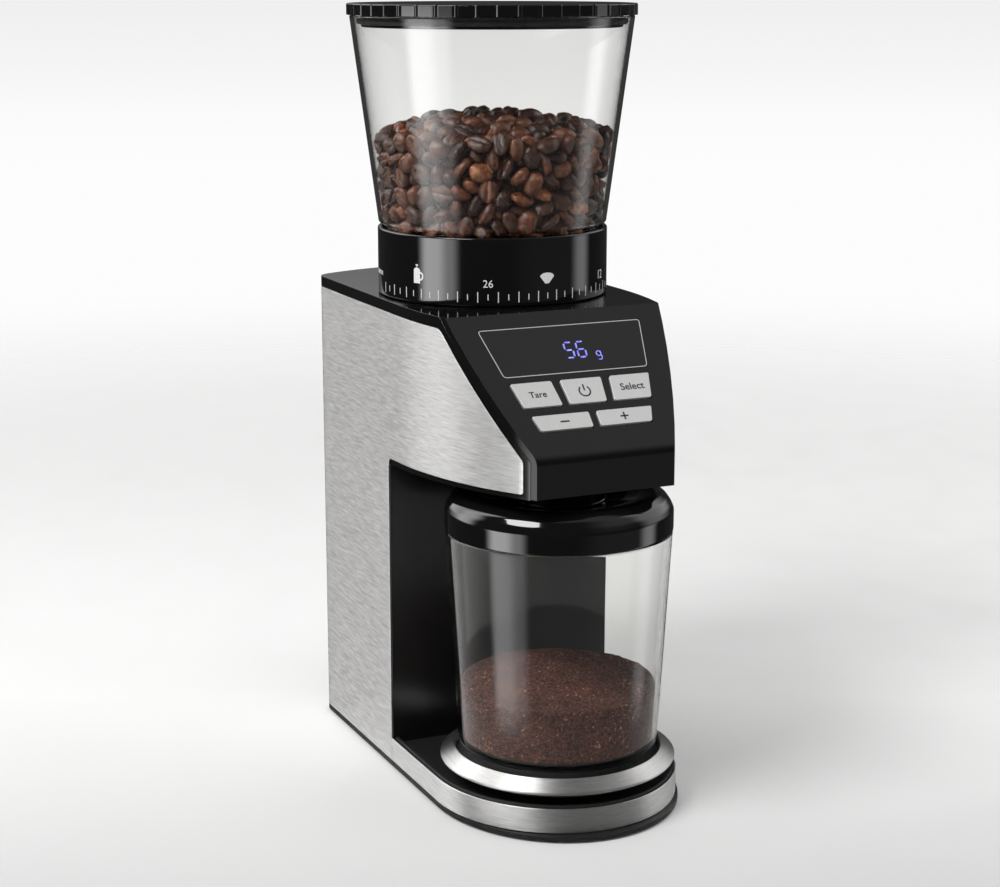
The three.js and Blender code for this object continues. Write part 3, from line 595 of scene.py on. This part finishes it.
cup_lid += [(49.3, 158.4), (46, 159.2), (42, 158.8), (25, 154.6), (22.5, 154.4), (22.5, 161.8)]
turn("cup_lid", CUP_AXIS, 0.9, cup_lid)
ring = [(51.6, 22.3), (57.9, 22.3), (58.7, 23), (58.7, 24), (52.2, 28.7), (51.6, 28.7)]
turn("scale_ring", CUP_AXIS, 0.5, ring)
pad = [(0, 22.3), (51.3, 22.3), (51.3, 24.6), (44, 24.6), (44, 28.4), (43.2, 29.2), (0, 29.2)]
turn("scale_pad", CUP_AXIS, 0.4, pad)
pedestal = [(0, 11), (17, 11), (17, 16), (47, 19.5), (55, 20.5), (55, 22), (0, 22)]
turn("scale_pedestal", CUP_AXIS, 0.4, pedestal)
turn("chute_nozzle", CUP_AXIS, 0.3, [(15, 163), (17, 163), (17, 169.2), (15, 169.2)])

# ---- Moulded and sheet pieces ----

CREASE = (-111, 186.8, 3.0)  # the control panel's bend: y, z and how wide it is rounded
# How wide each piece's edges are rounded.
EDGES = {
    "side_panel_left": 0.25,
    "side_panel_right": 0.25,
    "head_shell": 0.35,
    "column_shell": 0.6,
    "top_plate": 0.8,
    "control_panel": 0.3,
    "display_window": 0.1,
    "base_band": 0.3,
    "base_tray": 0.4,
    "base_plinth": 0.4,
    "rear_cover": 0.4,
    "cord_gland": 0.5,
    **{f"button_{key}": 0.25 for key in ("tare", "power", "select", "minus", "plus")},
    **{f"foot_{number}": 0.3 for number in range(1, 5)},
}
for node_name, edge_width in EDGES.items():
    soften(node_name, edge_width, crease=CREASE if node_name == "control_panel" else None)

# ---- Scale marks on the grind collar ----

SETTINGS = 39
SETTING_STEP = 4.95
FRONT_SETTING = 26
NUMBERED = (26, 12)
VIEW_SIDE = VIEW_TURN - 90  # the side of the collar that the camera sees, in degrees from +X
FRONT_ANGLE = VIEW_SIDE - 1.9  # where the front setting stands
FILTER_PLACE = (27.4, 259.6)  # degrees from the view's side, and height
PRESS_PLACE = (-38.8, 260.4)
MARK_Z = 250.9
LONG_MARK = 5.2
SHORT_MARK = 2.9
MARK_WIDTH = 0.45
NUMBER_Z = 257.5
INK = 0.05
SUNK = 0.03  # how far figures go into a surface
MARK_DEPTH = INK + SUNK


def setting_angle(setting):
    """Where a setting's mark stands on the collar, in radians from +X."""
    return math.radians(FRONT_ANGLE + (FRONT_SETTING - setting) * SETTING_STEP)


def on_collar(angle, height):
    """Maps a flat figure (x to the right, y up, z outwards) onto the collar."""

    def place(co):
        turned = angle + co.x / COLLAR_R
        reach = COLLAR_R - SUNK + co.z
        centre = Vector((GRIND_AXIS.x, GRIND_AXIS.y, 0))
        return (centre + Vector((reach * math.cos(turned), reach * math.sin(turned), height + co.y))) * MM

    return place


def scale_marks():
    """A mark for every setting, two numbers and the words at the ends."""
    bm = bmesh.new()
    for setting in range(1, SETTINGS + 1):
        length = LONG_MARK if setting % 2 else SHORT_MARK
        mark = bmesh.new()
        box_mesh(mark, (-MARK_WIDTH / 2, MARK_WIDTH / 2), (-length / 2, length / 2), (0, MARK_DEPTH))
        merge(bm, mark, on_collar(setting_angle(setting), MARK_Z))
    words = [(str(setting), 4.9, setting) for setting in NUMBERED]
    words += [("coarse", 12, SETTINGS + 2), ("fine", 7, 0)]
    for text, width, setting in words:
        word = slice_across(lettering(text, width, MARK_DEPTH))
        merge(bm, word, on_collar(setting_angle(setting), NUMBER_Z))
    return bm


def filter_icon():
    """A paper filter cone: a fan with a domed top."""
    bm = bmesh.new()
    top = [(3.8 * math.cos(a), 0.7 + 1.9 * math.sin(a)) for a in (math.pi * i / 12 for i in range(13))]
    prism(bm, [(-1.0, -2.7), (1.0, -2.7), *top], 0, MARK_DEPTH)
    return bm


def press_icon():
    """A coffee press: a jar with a handle and a plunger knob."""
    bm = bmesh.new()
    thick = (0, MARK_DEPTH)
    side = 1.6
    prism(bm, [(-2.4, -4.4), (side, -4.4), (side, 2.2), (0.7, 3.2), (-1.5, 3.2), (-2.4, 2.2)], *thick)
    box_mesh(bm, (-0.6, -0.2), (3.2, 4.3), thick)
    box_mesh(bm, (-1.2, 0.4), (4.3, 4.9), thick)
    level = -0.8
    shrink = 0.62
    angles = [math.pi * i / 8 for i in range(9)]
    outer = [(side + 2.1 * math.sin(a), level + 2.2 * math.cos(a)) for a in angles]
    inner = [(side + (x - side) * shrink, level + (y - level) * shrink) for x, y in outer]
    for i in range(len(outer) - 1):
        prism(bm, [outer[i + 1], inner[i + 1], inner[i], outer[i]], *thick)
    return bm


collar_bm = scale_marks()
for figure, (turned, height) in ((filter_icon(), FILTER_PLACE), (press_icon(), PRESS_PLACE)):
    merge(collar_bm, slice_across(figure), on_collar(math.radians(VIEW_SIDE + turned), height))
piece_from(collar_bm, "collar_scale", "collar", WHITE_INK)

# ---- Legends, frame line and digits on the control panel ----


def on_slope(x, s, lift):
    """Maps a flat figure (x to the right, y up the slope, z outwards) onto the sloping face."""
    right = Vector((1, 0, 0))
    up = Vector((0, math.cos(SLOPE), math.sin(SLOPE)))
    out = Vector((0, -math.sin(SLOPE), math.cos(SLOPE)))
    origin = Vector((0, *SLOPE_TOP))

    def place(co):
        return (origin + right * (x + co.x) + up * (co.y - s) + out * (lift + co.z)) * MM

    return place


CAP_PROUD = 0.9
LEGEND = 0.06


def printed(name, body, flat, place, ink):
    """A flat figure printed where place puts it."""
    bm = bmesh.new()
    merge(bm, flat, place)
    piece_from(bm, name, body, ink)


def legend(name, body, flat, x, s):
    """A printed figure on top of a key."""
    printed(name, body, flat, on_slope(x, s, CAP_PROUD - 0.01), BLACK_INK)


def power_figure():
    """An open ring with a bar in its gap."""
    bm = bmesh.new()
    gap = math.radians(38)
    steps = 28
    angles = [math.pi / 2 + gap + (2 * math.pi - 2 * gap) * i / steps for i in range(steps + 1)]
    for a, b in zip(angles, angles[1:]):
        corners = [(r * math.cos(t), r * math.sin(t)) for r, t in ((3.2, a), (3.2, b), (2.45, b), (2.45, a))]
        prism(bm, corners, 0, LEGEND)
    box_mesh(bm, (-0.38, 0.38), (0.2, 3.7), (0, LEGEND))
    return bm


def bars(*boxes):
    """A figure of straight bars, each a pair of places along X and along Y."""
    bm = bmesh.new()
    for x, y in boxes:
        box_mesh(bm, x, y, (0, LEGEND))
    return bm


legend("legend_tare", "key_tare", lettering("Tare", 8.9, LEGEND, 0.015), -24.4, 47.2)
legend("legend_select", "key_select", lettering("Select", 12.6, LEGEND, 0.015), 25.4, 47.0)
legend("legend_power", "key_power", power_figure(), 0, 47.4)
legend("legend_minus", "key_minus", bars(((-2.3, 2.3), (-0.42, 0.42))), -15.6, 63)
legend("legend_plus", "key_plus", bars(((-2.1, 2.1), (-0.4, 0.4)), ((-0.4, 0.4), (-2.1, 2.1))), 15.6, 63)

# Corners of the line round the display, clockwise: x, and y up the slope from its top.
WINDOW = ((-43.3, -8.7), (43.3, -8.7), (38, -36.2), (-38, -36.2))
LINE_WIDTH = 0.42


def eased(corners, radius):
    """A closed outline with each corner rounded over radius, in the order given."""
    points = []
    for i, corner in enumerate(corners):
        corner = Vector(corner)
        start = corner + (Vector(corners[i - 1]) - corner).normalized() * radius
        end = corner + (Vector(corners[(i + 1) % len(corners)]) - corner).normalized() * radius
        points += curve_at(start, corner, end)
    return points


line_flat = bmesh.new()
ribbon(line_flat, eased(WINDOW[::-1], 2.0), LINE_WIDTH, 0, 0.08)
printed("display_frame_line", BODY_OF["display_window"], line_flat, on_slope(0, 0, -0.06), GREY_INK)

# Segments of a digit, as a to g: (centre x, centre y, horizontal).
SEGMENTS = {
    "a": (0, 1, True), "b": (1, 0.5, False), "c": (1, -0.5, False), "d": (0, -1, True),
    "e": (-1, -0.5, False), "f": (-1, 0.5, False), "g": (0, 0, True),
}
SHOWN = {"5": "afgcd", "6": "afgecd"}
DIGIT_HALF = (2.1, 4.4)
DIGIT_PITCH = 6.4
DIGIT_SHEAR = 0.08
SEGMENT_HALF = 0.42
SEGMENT_GAP = 0.45  # from a segment's tip to the digit's corner
LIT_DEPTH = 0.05
LIT_LIFT = -0.04  # where lit figures start, measured out of the slope


def digit(value, centre_x):
    """A seven-segment digit, leaning to the right."""
    bm = bmesh.new()
    half_w, half_h = DIGIT_HALF
    for name in SHOWN[value]:
        x, y, flat = SEGMENTS[name]
        half = (half_w if flat else half_h / 2) - SEGMENT_GAP
        tip, thick = half - SEGMENT_HALF, SEGMENT_HALF
        bar = [(-half, 0), (-tip, -thick), (tip, -thick), (half, 0), (tip, thick), (-tip, thick)]
        if not flat:
            bar = [(-v, u) for u, v in bar]
        place = [(u + x * half_w, v + y * half_h) for u, v in bar]
        prism(bm, [(centre_x + u + v * DIGIT_SHEAR, v) for u, v in place], 0, LIT_DEPTH)
    return bm


def stroke(bm, points, width, depth):
    """Adds a closed band of that width along an open path."""
    for a, b in zip(points, points[1:]):
        along = (Vector(b) - Vector(a)).normalized() * width / 2
        side = Vector((-along.y, along.x))
        start, end = Vector(a) - along * 0.3, Vector(b) + along * 0.3
        prism(bm, [start - side, end - side, end + side, start + side], 0, depth)


def unit_letter():
    """The letter g as a round bowl on a hooked stem."""
    bm = bmesh.new()
    bowl = [(1.2 * math.cos(a), 0.9 + 1.35 * math.sin(a)) for a in (math.pi * i / 8 for i in range(17))]
    hook = [(1.2, 2.3), (1.2, -1.6), (0.8, -2.35), (0, -2.6), (-1, -2.4)]
    stroke(bm, bowl, 0.5, LIT_DEPTH)
    stroke(bm, hook, 0.5, LIT_DEPTH)
    return bm


display_bm = bmesh.new()
for i, value in enumerate("56"):
    merge(display_bm, digit(value, (i - 0.5) * DIGIT_PITCH), on_slope(3.4, 23.4, LIT_LIFT))
merge(display_bm, unit_letter(), on_slope(14.9, 27.4, LIT_LIFT))
piece_from(display_bm, "display_digits", BODY_OF["display_window"], LIT)

# ---- Coffee beans in the hopper ----

BEAN_HALF = Vector((6.0, 4.6, 3.9))
# The balls that stand for a bean while the heap settles.
BALL_PLACES = np.array([(2.5, 0, 0), (-2.5, 0, 0), (0, 1.2, 0), (0, -1.2, 0)], np.float32)
BALL_SIZES = np.array([3.2, 3.2, 3.25, 3.25])
BEAN_COUNT = 620
BEAN_FLOOR_Z = 277
BEAN_REACH = 12.5  # beans whose middles are farther apart than this can't touch
FILL_EDGE_Z = 326
FILL_TOP_Z = 337.5
SHELL = 12.5  # depth of the layer of beans that shows
MOVE_SHARE, MOST_MOVE = 0.35, 1.5  # a bean's move in one round, from the pushes on it
TURN_SHARE, MOST_TURN = 0.03, 0.3
NOT_ZERO = 1e-9


def wall_reach(foot, rim, z):
    """Radius at a height of a wall that leans from foot to rim, both (radius, height)."""
    return foot[0] + (rim[0] - foot[0]) * (z - foot[1]) / (rim[1] - foot[1])


def hopper_reach(z):
    """Radius of the hopper's inner wall at a height."""
    return wall_reach(HOPPER_FOOT, HOPPER_RIM, z)


def heap_height(r):
    """Height of the heap of beans, which is domed, at a radius."""
    return FILL_EDGE_Z + (FILL_TOP_Z - FILL_EDGE_Z) * (1 - np.clip(r / hopper_reach(FILL_EDGE_Z), 0, 1) ** 2)


def random_turns(rng, count):
    """Uniform random rotation matrices."""
    q = rng.normal(size=(count, 4))
    q /= np.linalg.norm(q, axis=1, keepdims=True)
    w, x, y, z = q.T
    rows = [[1 - 2 * (y * y + z * z), 2 * (x * y - z * w), 2 * (x * z + y * w)],
            [2 * (x * y + z * w), 1 - 2 * (x * x + z * z), 2 * (y * z - x * w)],
            [2 * (x * z - y * w), 2 * (y * z + x * w), 1 - 2 * (x * x + y * y)]]
    return np.moveaxis(np.array(rows), 2, 0)


def small_turns(vectors):
    """Rotation matrices for small rotation vectors."""
    angle = np.linalg.norm(vectors, axis=1, keepdims=True) + NOT_ZERO
    x, y, z = (vectors / angle).T
    zero = np.zeros_like(x)
    cross = np.moveaxis(np.array([[zero, -z, y], [z, zero, -x], [-y, x, zero]]), 2, 0)
    sine, cosine = np.sin(angle)[:, :, None], np.cos(angle)[:, :, None]
    return np.eye(3) + sine * cross + (1 - cosine) * (cross @ cross)


def seed_places(rng, count):
    """Random places in the layer of beans that shows: along the wall and over the top."""
    found = []
    while len(found) < count:
        x, y = rng.uniform(-62, 62, 2)
        z = rng.uniform(BEAN_FLOOR_Z, FILL_TOP_Z)
        r = math.hypot(x, y)
        near_wall = hopper_reach(z) - SHELL < r < hopper_reach(z) - 3
        near_top = heap_height(r) - SHELL < z
        if r < hopper_reach(z) - 3 and z < heap_height(r) and (near_wall or near_top):
            found.append((x, y, z))
    return np.array(found)


def push_apart(place, centre):
    """A push on every ball, away from the balls of other beans that it overlaps."""
    push = np.zeros_like(centre)
    gap = place[:, None] - place[None]
    a, b = np.argwhere(np.triu((gap**2).sum(2) < BEAN_REACH**2, 1)).T
    apart = centre[a][:, :, None] - centre[b][:, None]
    distance = np.linalg.norm(apart, axis=3) + NOT_ZERO
    overlap = np.maximum(BALL_SIZES[:, None] + BALL_SIZES[None] - distance, 0)
    force = apart / distance[..., None] * overlap[..., None] * 0.5
    np.add.at(push, a, force.sum(2))
    np.add.at(push, b, -force.sum(1))
    return push


def hold_in(push, centre, lift):
    """Adds pushes that keep the balls between the wall, the top of the heap and its core."""
    slant = math.atan((HOPPER_RIM[0] - HOPPER_FOOT[0]) / (HOPPER_RIM[1] - HOPPER_FOOT[1]))
    r = np.linalg.norm(centre[..., :2], axis=2) + NOT_ZERO
    z = centre[..., 2]
    out = centre[..., :2] / r[..., None]
    over = np.maximum(r + BALL_SIZES / math.cos(slant) + 0.3 - hopper_reach(z), 0)
    push[..., :2] -= out * over[..., None]
    push[..., 2] -= np.maximum(z + BALL_SIZES - heap_height(r) - lift[:, None], 0)
    push[..., 2] += np.maximum(BEAN_FLOOR_Z + BALL_SIZES - z, 0)
    from_side = hopper_reach(z) - SHELL - r
    from_top = heap_height(r) - SHELL - z
    inside = np.maximum(np.minimum(from_side, from_top), 0)
    sideways = from_side < from_top
    push[..., :2] += out * np.where(sideways, inside, 0)[..., None]
    push[..., 2] += np.where(sideways, 0, inside)


def settle(rng, count, rounds=150):
    """Places and turns of beans that are pushed apart and held in, a little in each round."""
    place = seed_places(rng, count)
    turn_of = random_turns(rng, count)
    lift = rng.uniform(-1.8, 2.2, count)
    for _ in range(rounds):
        arm = np.einsum("nij,kj->nki", turn_of, BALL_PLACES)
        centre = place[:, None] + arm
        push = push_apart(place, centre)
        hold_in(push, centre, lift)
        place = place + np.clip(push.sum(1) * MOVE_SHARE, -MOST_MOVE, MOST_MOVE)
        torque = np.cross(arm, push).sum(1)
        turn_of = small_turns(np.clip(torque * TURN_SHARE, -MOST_TURN, MOST_TURN)) @ turn_of
    return place, turn_of


def bean_shape(rng, rings=15):
    """Vertices, faces and crease share of one bean along X: domed back, flatter face and curved crease."""
    length, width, back = (half * scale for half, scale in zip(BEAN_HALF, rng.uniform(0.86, 1.08, 3)))
    face = back * rng.uniform(0.5, 0.68)
    sway = rng.uniform(-0.9, 0.9)
    seed = Vector(rng.uniform(-50, 50, 3))
    spots = [math.pi * i / 9 for i in range(10)]
    spots += [math.pi * (1 + share) for share in (0.12, 0.25, 0.37, 0.44, 0.48, 0.52, 0.56, 0.63, 0.75, 0.88)]
    verts, crease = [(-length, 0, 0)], [0]
    for i in range(1, rings):
        t = math.cos(math.pi * (1 - i / rings))
        girth = math.sqrt(1 - t * t) ** 0.8
        for spot in spots:
            y = width * girth * math.cos(spot)
            under = math.sin(spot) < 0
            z = (face if under else back) * girth * math.sin(spot)
            cut = math.exp(-(((y - sway * t**3) / 0.55) ** 2)) if under else 0
            point = Vector((length * t, y, z + 1.5 * cut * girth))
            wrinkle = 0.2 * noise.noise(point * 0.5 + seed) + 0.1 * noise.noise(point * 1.4 + seed)
            verts.append(tuple(point * (1 + wrinkle * 0.5)))
            crease.append(cut)
    verts.append((length, 0, 0))
    crease.append(0)
    count, last = len(spots), len(verts) - 1
    tubes = [range(first, first + count) for first in range(1, last, count)]
    faces = list(faces_between([[0] * count, *tubes, [last] * count]))
    return np.array(verts), faces, np.array(crease)


def mesh_of(name, verts, faces, material, **shares):
    """A smooth mesh from points in millimetres. shares are attributes with a value for each vertex."""
    mesh = bpy.data.meshes.new(name)
    mesh.from_pydata([tuple(v) for v in np.asarray(verts) * MM], [], faces)
    for attribute, values in shares.items():
        layer = mesh.attributes.new(attribute, "FLOAT", "POINT")
        layer.data.foreach_set("value", np.asarray(values, np.float32))
    mesh.shade_smooth()
    mesh.materials.append(material)
    return linked(name, mesh)


def fill_hopper():
    """The heap of beans, in two meshes."""
    rng = np.random.default_rng(7)
    shapes = [bean_shape(rng) for _ in range(10)]
    place, turn_of = settle(rng, BEAN_COUNT)
    skin = bean_skin()
    for part in range(2):
        verts, faces, tones, crease_chaff_and_shade = [], [], [], []
        offset = 0
        for i in range(part, BEAN_COUNT, 2):
            points, polygons, crease = shapes[rng.integers(len(shapes))]
            verts.append(points @ turn_of[i].T + place[i] + (GRIND_AXIS.x, GRIND_AXIS.y, 0))
            faces += [tuple(v + offset for v in polygon) for polygon in polygons]
            tones += [np.clip(rng.normal(0.35, 0.2), 0.02, 0.95)] * len(points)
            # A negative share paints shade into the crease; a positive one paints pale chaff there.
            crease_chaff_and_shade.append(crease * rng.choice((-0.4, -0.2, 0.35, 0.6)))
            offset += len(points)
        shares = {"tone": tones, "crease": np.concatenate(crease_chaff_and_shade)}
        beans = mesh_of(f"coffee_beans_{part + 1}", np.concatenate(verts), faces, skin, **shares)
        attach(beans, "bean_bin")


def bean_core():
    """The heart of the heap, behind the beans that show, painted dark to stand for the shade deep among the
    beans.
    """
    depth = SHELL + 2
    wall = [(hopper_reach(z) - depth, z) for z in range(278, 316, 6)]
    crown = [(r, heap_height(r) - depth) for r in (40, 30, 20, 10, 0)]
    profile = [(0, 276), *wall, *crown]
    bm = lathe(profile, GRIND_AXIS, 0.5, lambda angle, r, z: 0.8 * math.sin(9 * angle + z))
    # The printed_ink finish here only carries painted shade: the darkness among the hidden beans.
    piece_from(bm, "bean_core", "bean_bin", printed_ink("bean_shadow", (0.02, 0.008, 0.005)))


fill_hopper()
bean_core()

# ---- Ground coffee in the cup ----

GROUNDS_EDGE_Z = 61
GROUNDS_TOP_Z = 74
GROUNDS_FLOOR_Z = 33.1
GROUNDS_GAP = 0.25  # between the ground coffee and the cup's wall
GRAINS = 9000


def cup_reach(z):
    """Radius of the ground coffee against the cup's inner wall at a height."""
    return wall_reach(CUP_FOOT, CUP_RIM, z) - GROUNDS_GAP


def mound(r):
    """Height of the mound of ground coffee at a radius."""
    share = min(1, r / cup_reach(GROUNDS_EDGE_Z))
    return GROUNDS_EDGE_Z + (GROUNDS_TOP_Z - GROUNDS_EDGE_Z) * (0.5 + 0.5 * math.cos(math.pi * share)) ** 0.9


def swell(x, y):
    """Soft waves in the mound's height."""
    return 1.1 * noise.noise(Vector((x, y, 3)) / 9)


def grounds_profile(across):
    """(radius, height) of the floor, the side and the mound, whose heights are None because they vary."""
    steps = 44
    rise = GROUNDS_EDGE_Z - GROUNDS_FLOOR_Z
    heights = [GROUNDS_FLOOR_Z + rise * i / steps for i in range(2, steps + 1)]
    edge = cup_reach(GROUNDS_EDGE_Z)
    profile = [(0, GROUNDS_FLOOR_Z), (cup_reach(35.4) - 2, GROUNDS_FLOOR_Z)]
    profile += [(cup_reach(z), z) for z in heights]
    return profile + [(edge * (1 - i / across), None) for i in range(1, across + 1)]


def rough_point(r, z, angle):
    """A point of the ground coffee: lumpy on the mound, dented against the cup."""
    x, y = r * math.cos(angle), r * math.sin(angle)
    height = z
    if z is None:
        height = mound(r) + (swell(x, y) + 0.6 * noise.noise(Vector((x, y, 9)) / 1.3))
    elif r > cup_reach(z) - 0.1:
        dent = 0.5 * abs(noise.noise(Vector((x, y, z)) / 0.9))
        x, y = x * (1 - dent / r), y * (1 - dent / r)
    return CUP_AXIS.x + x, CUP_AXIS.y + y, height


def fill_cup():
    """One lumpy solid: a floor, the side against the cup and a rough mound."""
    around, across = 480, 90
    verts, rings = [], []
    for r, z in grounds_profile(across):
        first = len(verts)
        if r < TINY:
            rings.append([first] * around)
            verts.append((CUP_AXIS.x, CUP_AXIS.y, mound(0) if z is None else z))
            continue
        rings.append(list(range(first, first + around)))
        verts += [rough_point(r, z, 2 * math.pi * i / around) for i in range(around)]
    return verts, list(faces_between(rings))


def grain_bits():
    """Loose grains on the mound: small uneven octahedra."""
    rng = random.Random(11)
    verts, faces = [], []
    sides = [(0, 2, 4), (2, 1, 4), (1, 3, 4), (3, 0, 4), (2, 0, 5), (1, 2, 5), (3, 1, 5), (0, 3, 5)]
    tips = [(1, 0, 0), (-1, 0, 0), (0, 1, 0), (0, -1, 0), (0, 0, 1), (0, 0, -1)]
    edge = cup_reach(GROUNDS_EDGE_Z) - 1.2
    for _ in range(GRAINS):
        r, angle = edge * math.sqrt(rng.random()), rng.uniform(0, 2 * math.pi)
        x, y = r * math.cos(angle), r * math.sin(angle)
        start = len(verts)
        turned = rng.uniform(0, 6.28)
        about = Vector((rng.random(), rng.random(), rng.random()))
        turn_by = Matrix.Rotation(turned, 3, about)
        centre = Vector((CUP_AXIS.x + x, CUP_AXIS.y + y, mound(r) + swell(x, y)))
        for tip in tips:
            reach = rng.uniform(0.25, 0.65)
            verts.append(tuple(centre + turn_by @ (Vector(tip) * reach)))
        faces += [tuple(start + k for k in side) for side in sides]
    return verts, faces


coffee = ground_coffee()
grounds = mesh_of("ground_coffee", *fill_cup(), coffee)
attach(grounds, BODY_OF["cup"])
bits = mesh_of("coffee_grains", *grain_bits(), coffee)
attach(bits, BODY_OF["cup"])

# ---- Camera, floor and studio light ----


def aim_camera():
    """The reference view's camera."""
    data = bpy.data.cameras.new("camera")
    data.lens = CAMERA_LENS
    data.sensor_width = 36
    data.clip_start, data.clip_end = 0.05, 50
    camera = linked("camera", data)
    camera.location = Vector(CAMERA_PLACE) * MM
    camera.rotation_euler = [math.radians(a) for a in CAMERA_TURN]
    bpy.context.scene.camera = camera


WIDE_FLOOR = (0.45, 1.7)  # metres from its middle where a floor starts to fade, and where it has gone
NEAR_FLOOR = (0.12, 0.2)
FLOOR_PALE = (0.85, 0.85, 0.845)
# Colour of the painted shade on the floor nearest the camera, where its light falls off.
FLOOR_PAINTED_SHADE = (0.45, 0.45, 0.45)
AMBIENT = 0.7
DARK_STUDIO = 0.04
# What shows in reflections. Each panel: sides from and to, heights from and to, softness of its sides and
# heights, and luminance. Sides are degrees from the camera's side, positive to the right of the view. Heights
# are degrees above the horizon.
PANELS = (
    (-74, -36, -70, 0, 6, 4, 3.4),  # key softbox on the left
    (-74, -50, -36, 0, 7, 4, 3.8),  # its brighter middle part
    (-150, -98, 6, 60, 7, 6, 2.2),  # white wall on the left
    (-122, -102, 6, 60, 7, 6, 1.9),  # strip of light in it
    (-179, -150, 8, 22, 3, 5, 0.55),  # backdrop
    (90, 108, -60, 0, 7, 8, 2.0),  # fill strip on the right
    (95, 150, 6, 50, 9, 8, 1.3),  # white wall on the right
    (50, 130, 30, 66, 25, 14, 0.45),  # overhead softbox
    (30, 90, -70, -6, 16, 8, 0.14),  # dim front right
    (-180, 180, 66, 90, 1, 12, 0.4),  # ceiling
)


def floor_finish(name, solid, gone):
    """Pale floor with painted shade that darkens it towards the camera, fading out between two distances in
    metres.
    """
    finish = Finish(name, FLOOR_PALE, 0.6, **{"Specular IOR Level": 0.1})
    turned = finish.node("ShaderNodeVectorRotate", {"Vector": finish.place}, Angle=math.radians(-VIEW_TURN))
    depth = finish.node("ShaderNodeSeparateXYZ", {0: turned.outputs[0]}).outputs["Y"]
    # Painted shade: the floor's colour darkens towards the camera to stand for light falling off there.
    near = finish.spread(depth, 0, 1, -0.3, 0.35)
    finish.drive("Base Color", finish.tones(near, (0, FLOOR_PAINTED_SHADE), (0.6, FLOOR_PALE)))
    finish.drive("Roughness", finish.spread(finish.noise(40), 0.5, 0.7))
    radius = finish.node("ShaderNodeVectorMath", {0: finish.place})
    radius.operation = "LENGTH"
    fade = finish.ramp(radius.outputs["Value"], solid, gone, 0, 1)
    finish.blend(fade, finish.node("ShaderNodeBsdfTransparent"))
    return finish.material


def lay_floor(name, solid, gone, seen):
    """A round floor. One that isn't seen shows only in reflections."""
    bm = bmesh.new()
    bmesh.ops.create_circle(bm, cap_ends=True, segments=96, radius=gone + 0.01)
    mesh = bpy.data.meshes.new(name)
    bm.to_mesh(mesh)
    bm.free()
    mesh.materials.append(floor_finish(name, solid, gone))
    floor = linked(name, mesh)
    for rays in ("camera", "diffuse", "transmission", "shadow"):
        setattr(floor, f"visible_{rays}", seen)
    floor.visible_glossy = not seen
    return floor


def window(nodes, value, start, end, soft, level=1):
    """level between start and end, and 0 outside them, easing over soft on either side of each."""
    rise = nodes.ramp(value, start - soft, start + soft, 0, 1)
    fall = nodes.ramp(value, end - soft, end + soft, level, 0)
    return nodes.math("MULTIPLY", rise, fall)


def panel_light(nodes, place, direction):
    """Luminance of the studio's panels in each direction."""
    turned = nodes.node("ShaderNodeVectorRotate", {"Vector": place}, Angle=math.radians(-VIEW_TURN))
    flat = nodes.node("ShaderNodeSeparateXYZ", {0: turned.outputs[0]})
    towards = nodes.math("MULTIPLY", flat.outputs["Y"], nodes.constant(-1))
    degrees = nodes.constant(math.degrees(1))
    side = nodes.math("MULTIPLY", nodes.math("ARCTAN2", flat.outputs["X"], towards), degrees)
    height = nodes.math("MULTIPLY", nodes.math("ARCSINE", direction.outputs["Z"]), degrees)
    light = nodes.constant(DARK_STUDIO)
    for left, right, low, high, side_soft, height_soft, level in PANELS:
        across = window(nodes, side, left, right, side_soft)
        up = window(nodes, height, low, high, height_soft, level)
        light = nodes.math("ADD", light, nodes.math("MULTIPLY", across, up))
    return light


def light_world():
    """A pale backdrop, an even light for matt surfaces and, in reflections, the studio's panels."""
    world = bpy.data.worlds.new("studio")
    bpy.context.scene.world = world
    world.use_nodes = True
    world.cycles.sampling_method = "NONE"
    world.node_tree.nodes.clear()
    nodes = Nodes(world.node_tree)
    place = nodes.node("ShaderNodeTexCoord").outputs["Generated"]
    direction = nodes.node("ShaderNodeSeparateXYZ", {0: place})
    horizon = nodes.ramp(direction.outputs["Z"], -0.09, 0.0, 0.98, 0.86)
    shown = nodes.node("ShaderNodeBackground", {"Color": horizon})
    ambient = nodes.node("ShaderNodeBackground", Color=(AMBIENT, AMBIENT, AMBIENT, 1))
    mirrored = nodes.node("ShaderNodeBackground", {"Color": panel_light(nodes, place, direction)})
    path = nodes.node("ShaderNodeLightPath").outputs
    links = {0: path["Diffuse Depth"], 1: shown.outputs[0], 2: ambient.outputs[0]}
    lighting = nodes.node("ShaderNodeMixShader", links)
    links = {0: path["Glossy Depth"], 1: lighting.outputs[0], 2: mirrored.outputs[0]}
    mixed = nodes.node("ShaderNodeMixShader", links)
    nodes.node("ShaderNodeOutputWorld", {"Surface": mixed.outputs[0]})


def softbox(name, side, height, distance, size, luminance, mirrored):
    """An elliptical lamp facing the grinder. Its side and height are in degrees, as a panel's are."""
    data = bpy.data.lights.new(name, "AREA")
    data.shape = "ELLIPSE"
    data.size, data.size_y = size
    data.energy = luminance * math.pi * size[0] * size[1]
    lamp = linked(name, data)
    angle, rise = math.radians(VIEW_TURN + side), math.radians(height)
    level = math.cos(rise)
    outwards = Vector((math.sin(angle) * level, -math.cos(angle) * level, math.sin(rise)))
    lamp.location = outwards * distance + Vector((0, 0, 0.2))
    lamp.rotation_euler = (-outwards).to_track_quat("-Z", "Y").to_euler()
    lamp.visible_camera = False
    lamp.visible_transmission = False
    lamp.visible_glossy = mirrored


aim_camera()
lay_floor("floor", *WIDE_FLOOR, True)
lay_floor("near_floor", *NEAR_FLOOR, False).location.y = CUP_AXIS.y * MM
light_world()
softbox("key_soft", -48, 50, 1.4, (0.8, 0.4), 14, True)
softbox("fill_soft", 80, 30, 1.5, (1.2, 1.2), 1.0, False)
bpy.context.scene.view_settings.view_transform = "Standard"
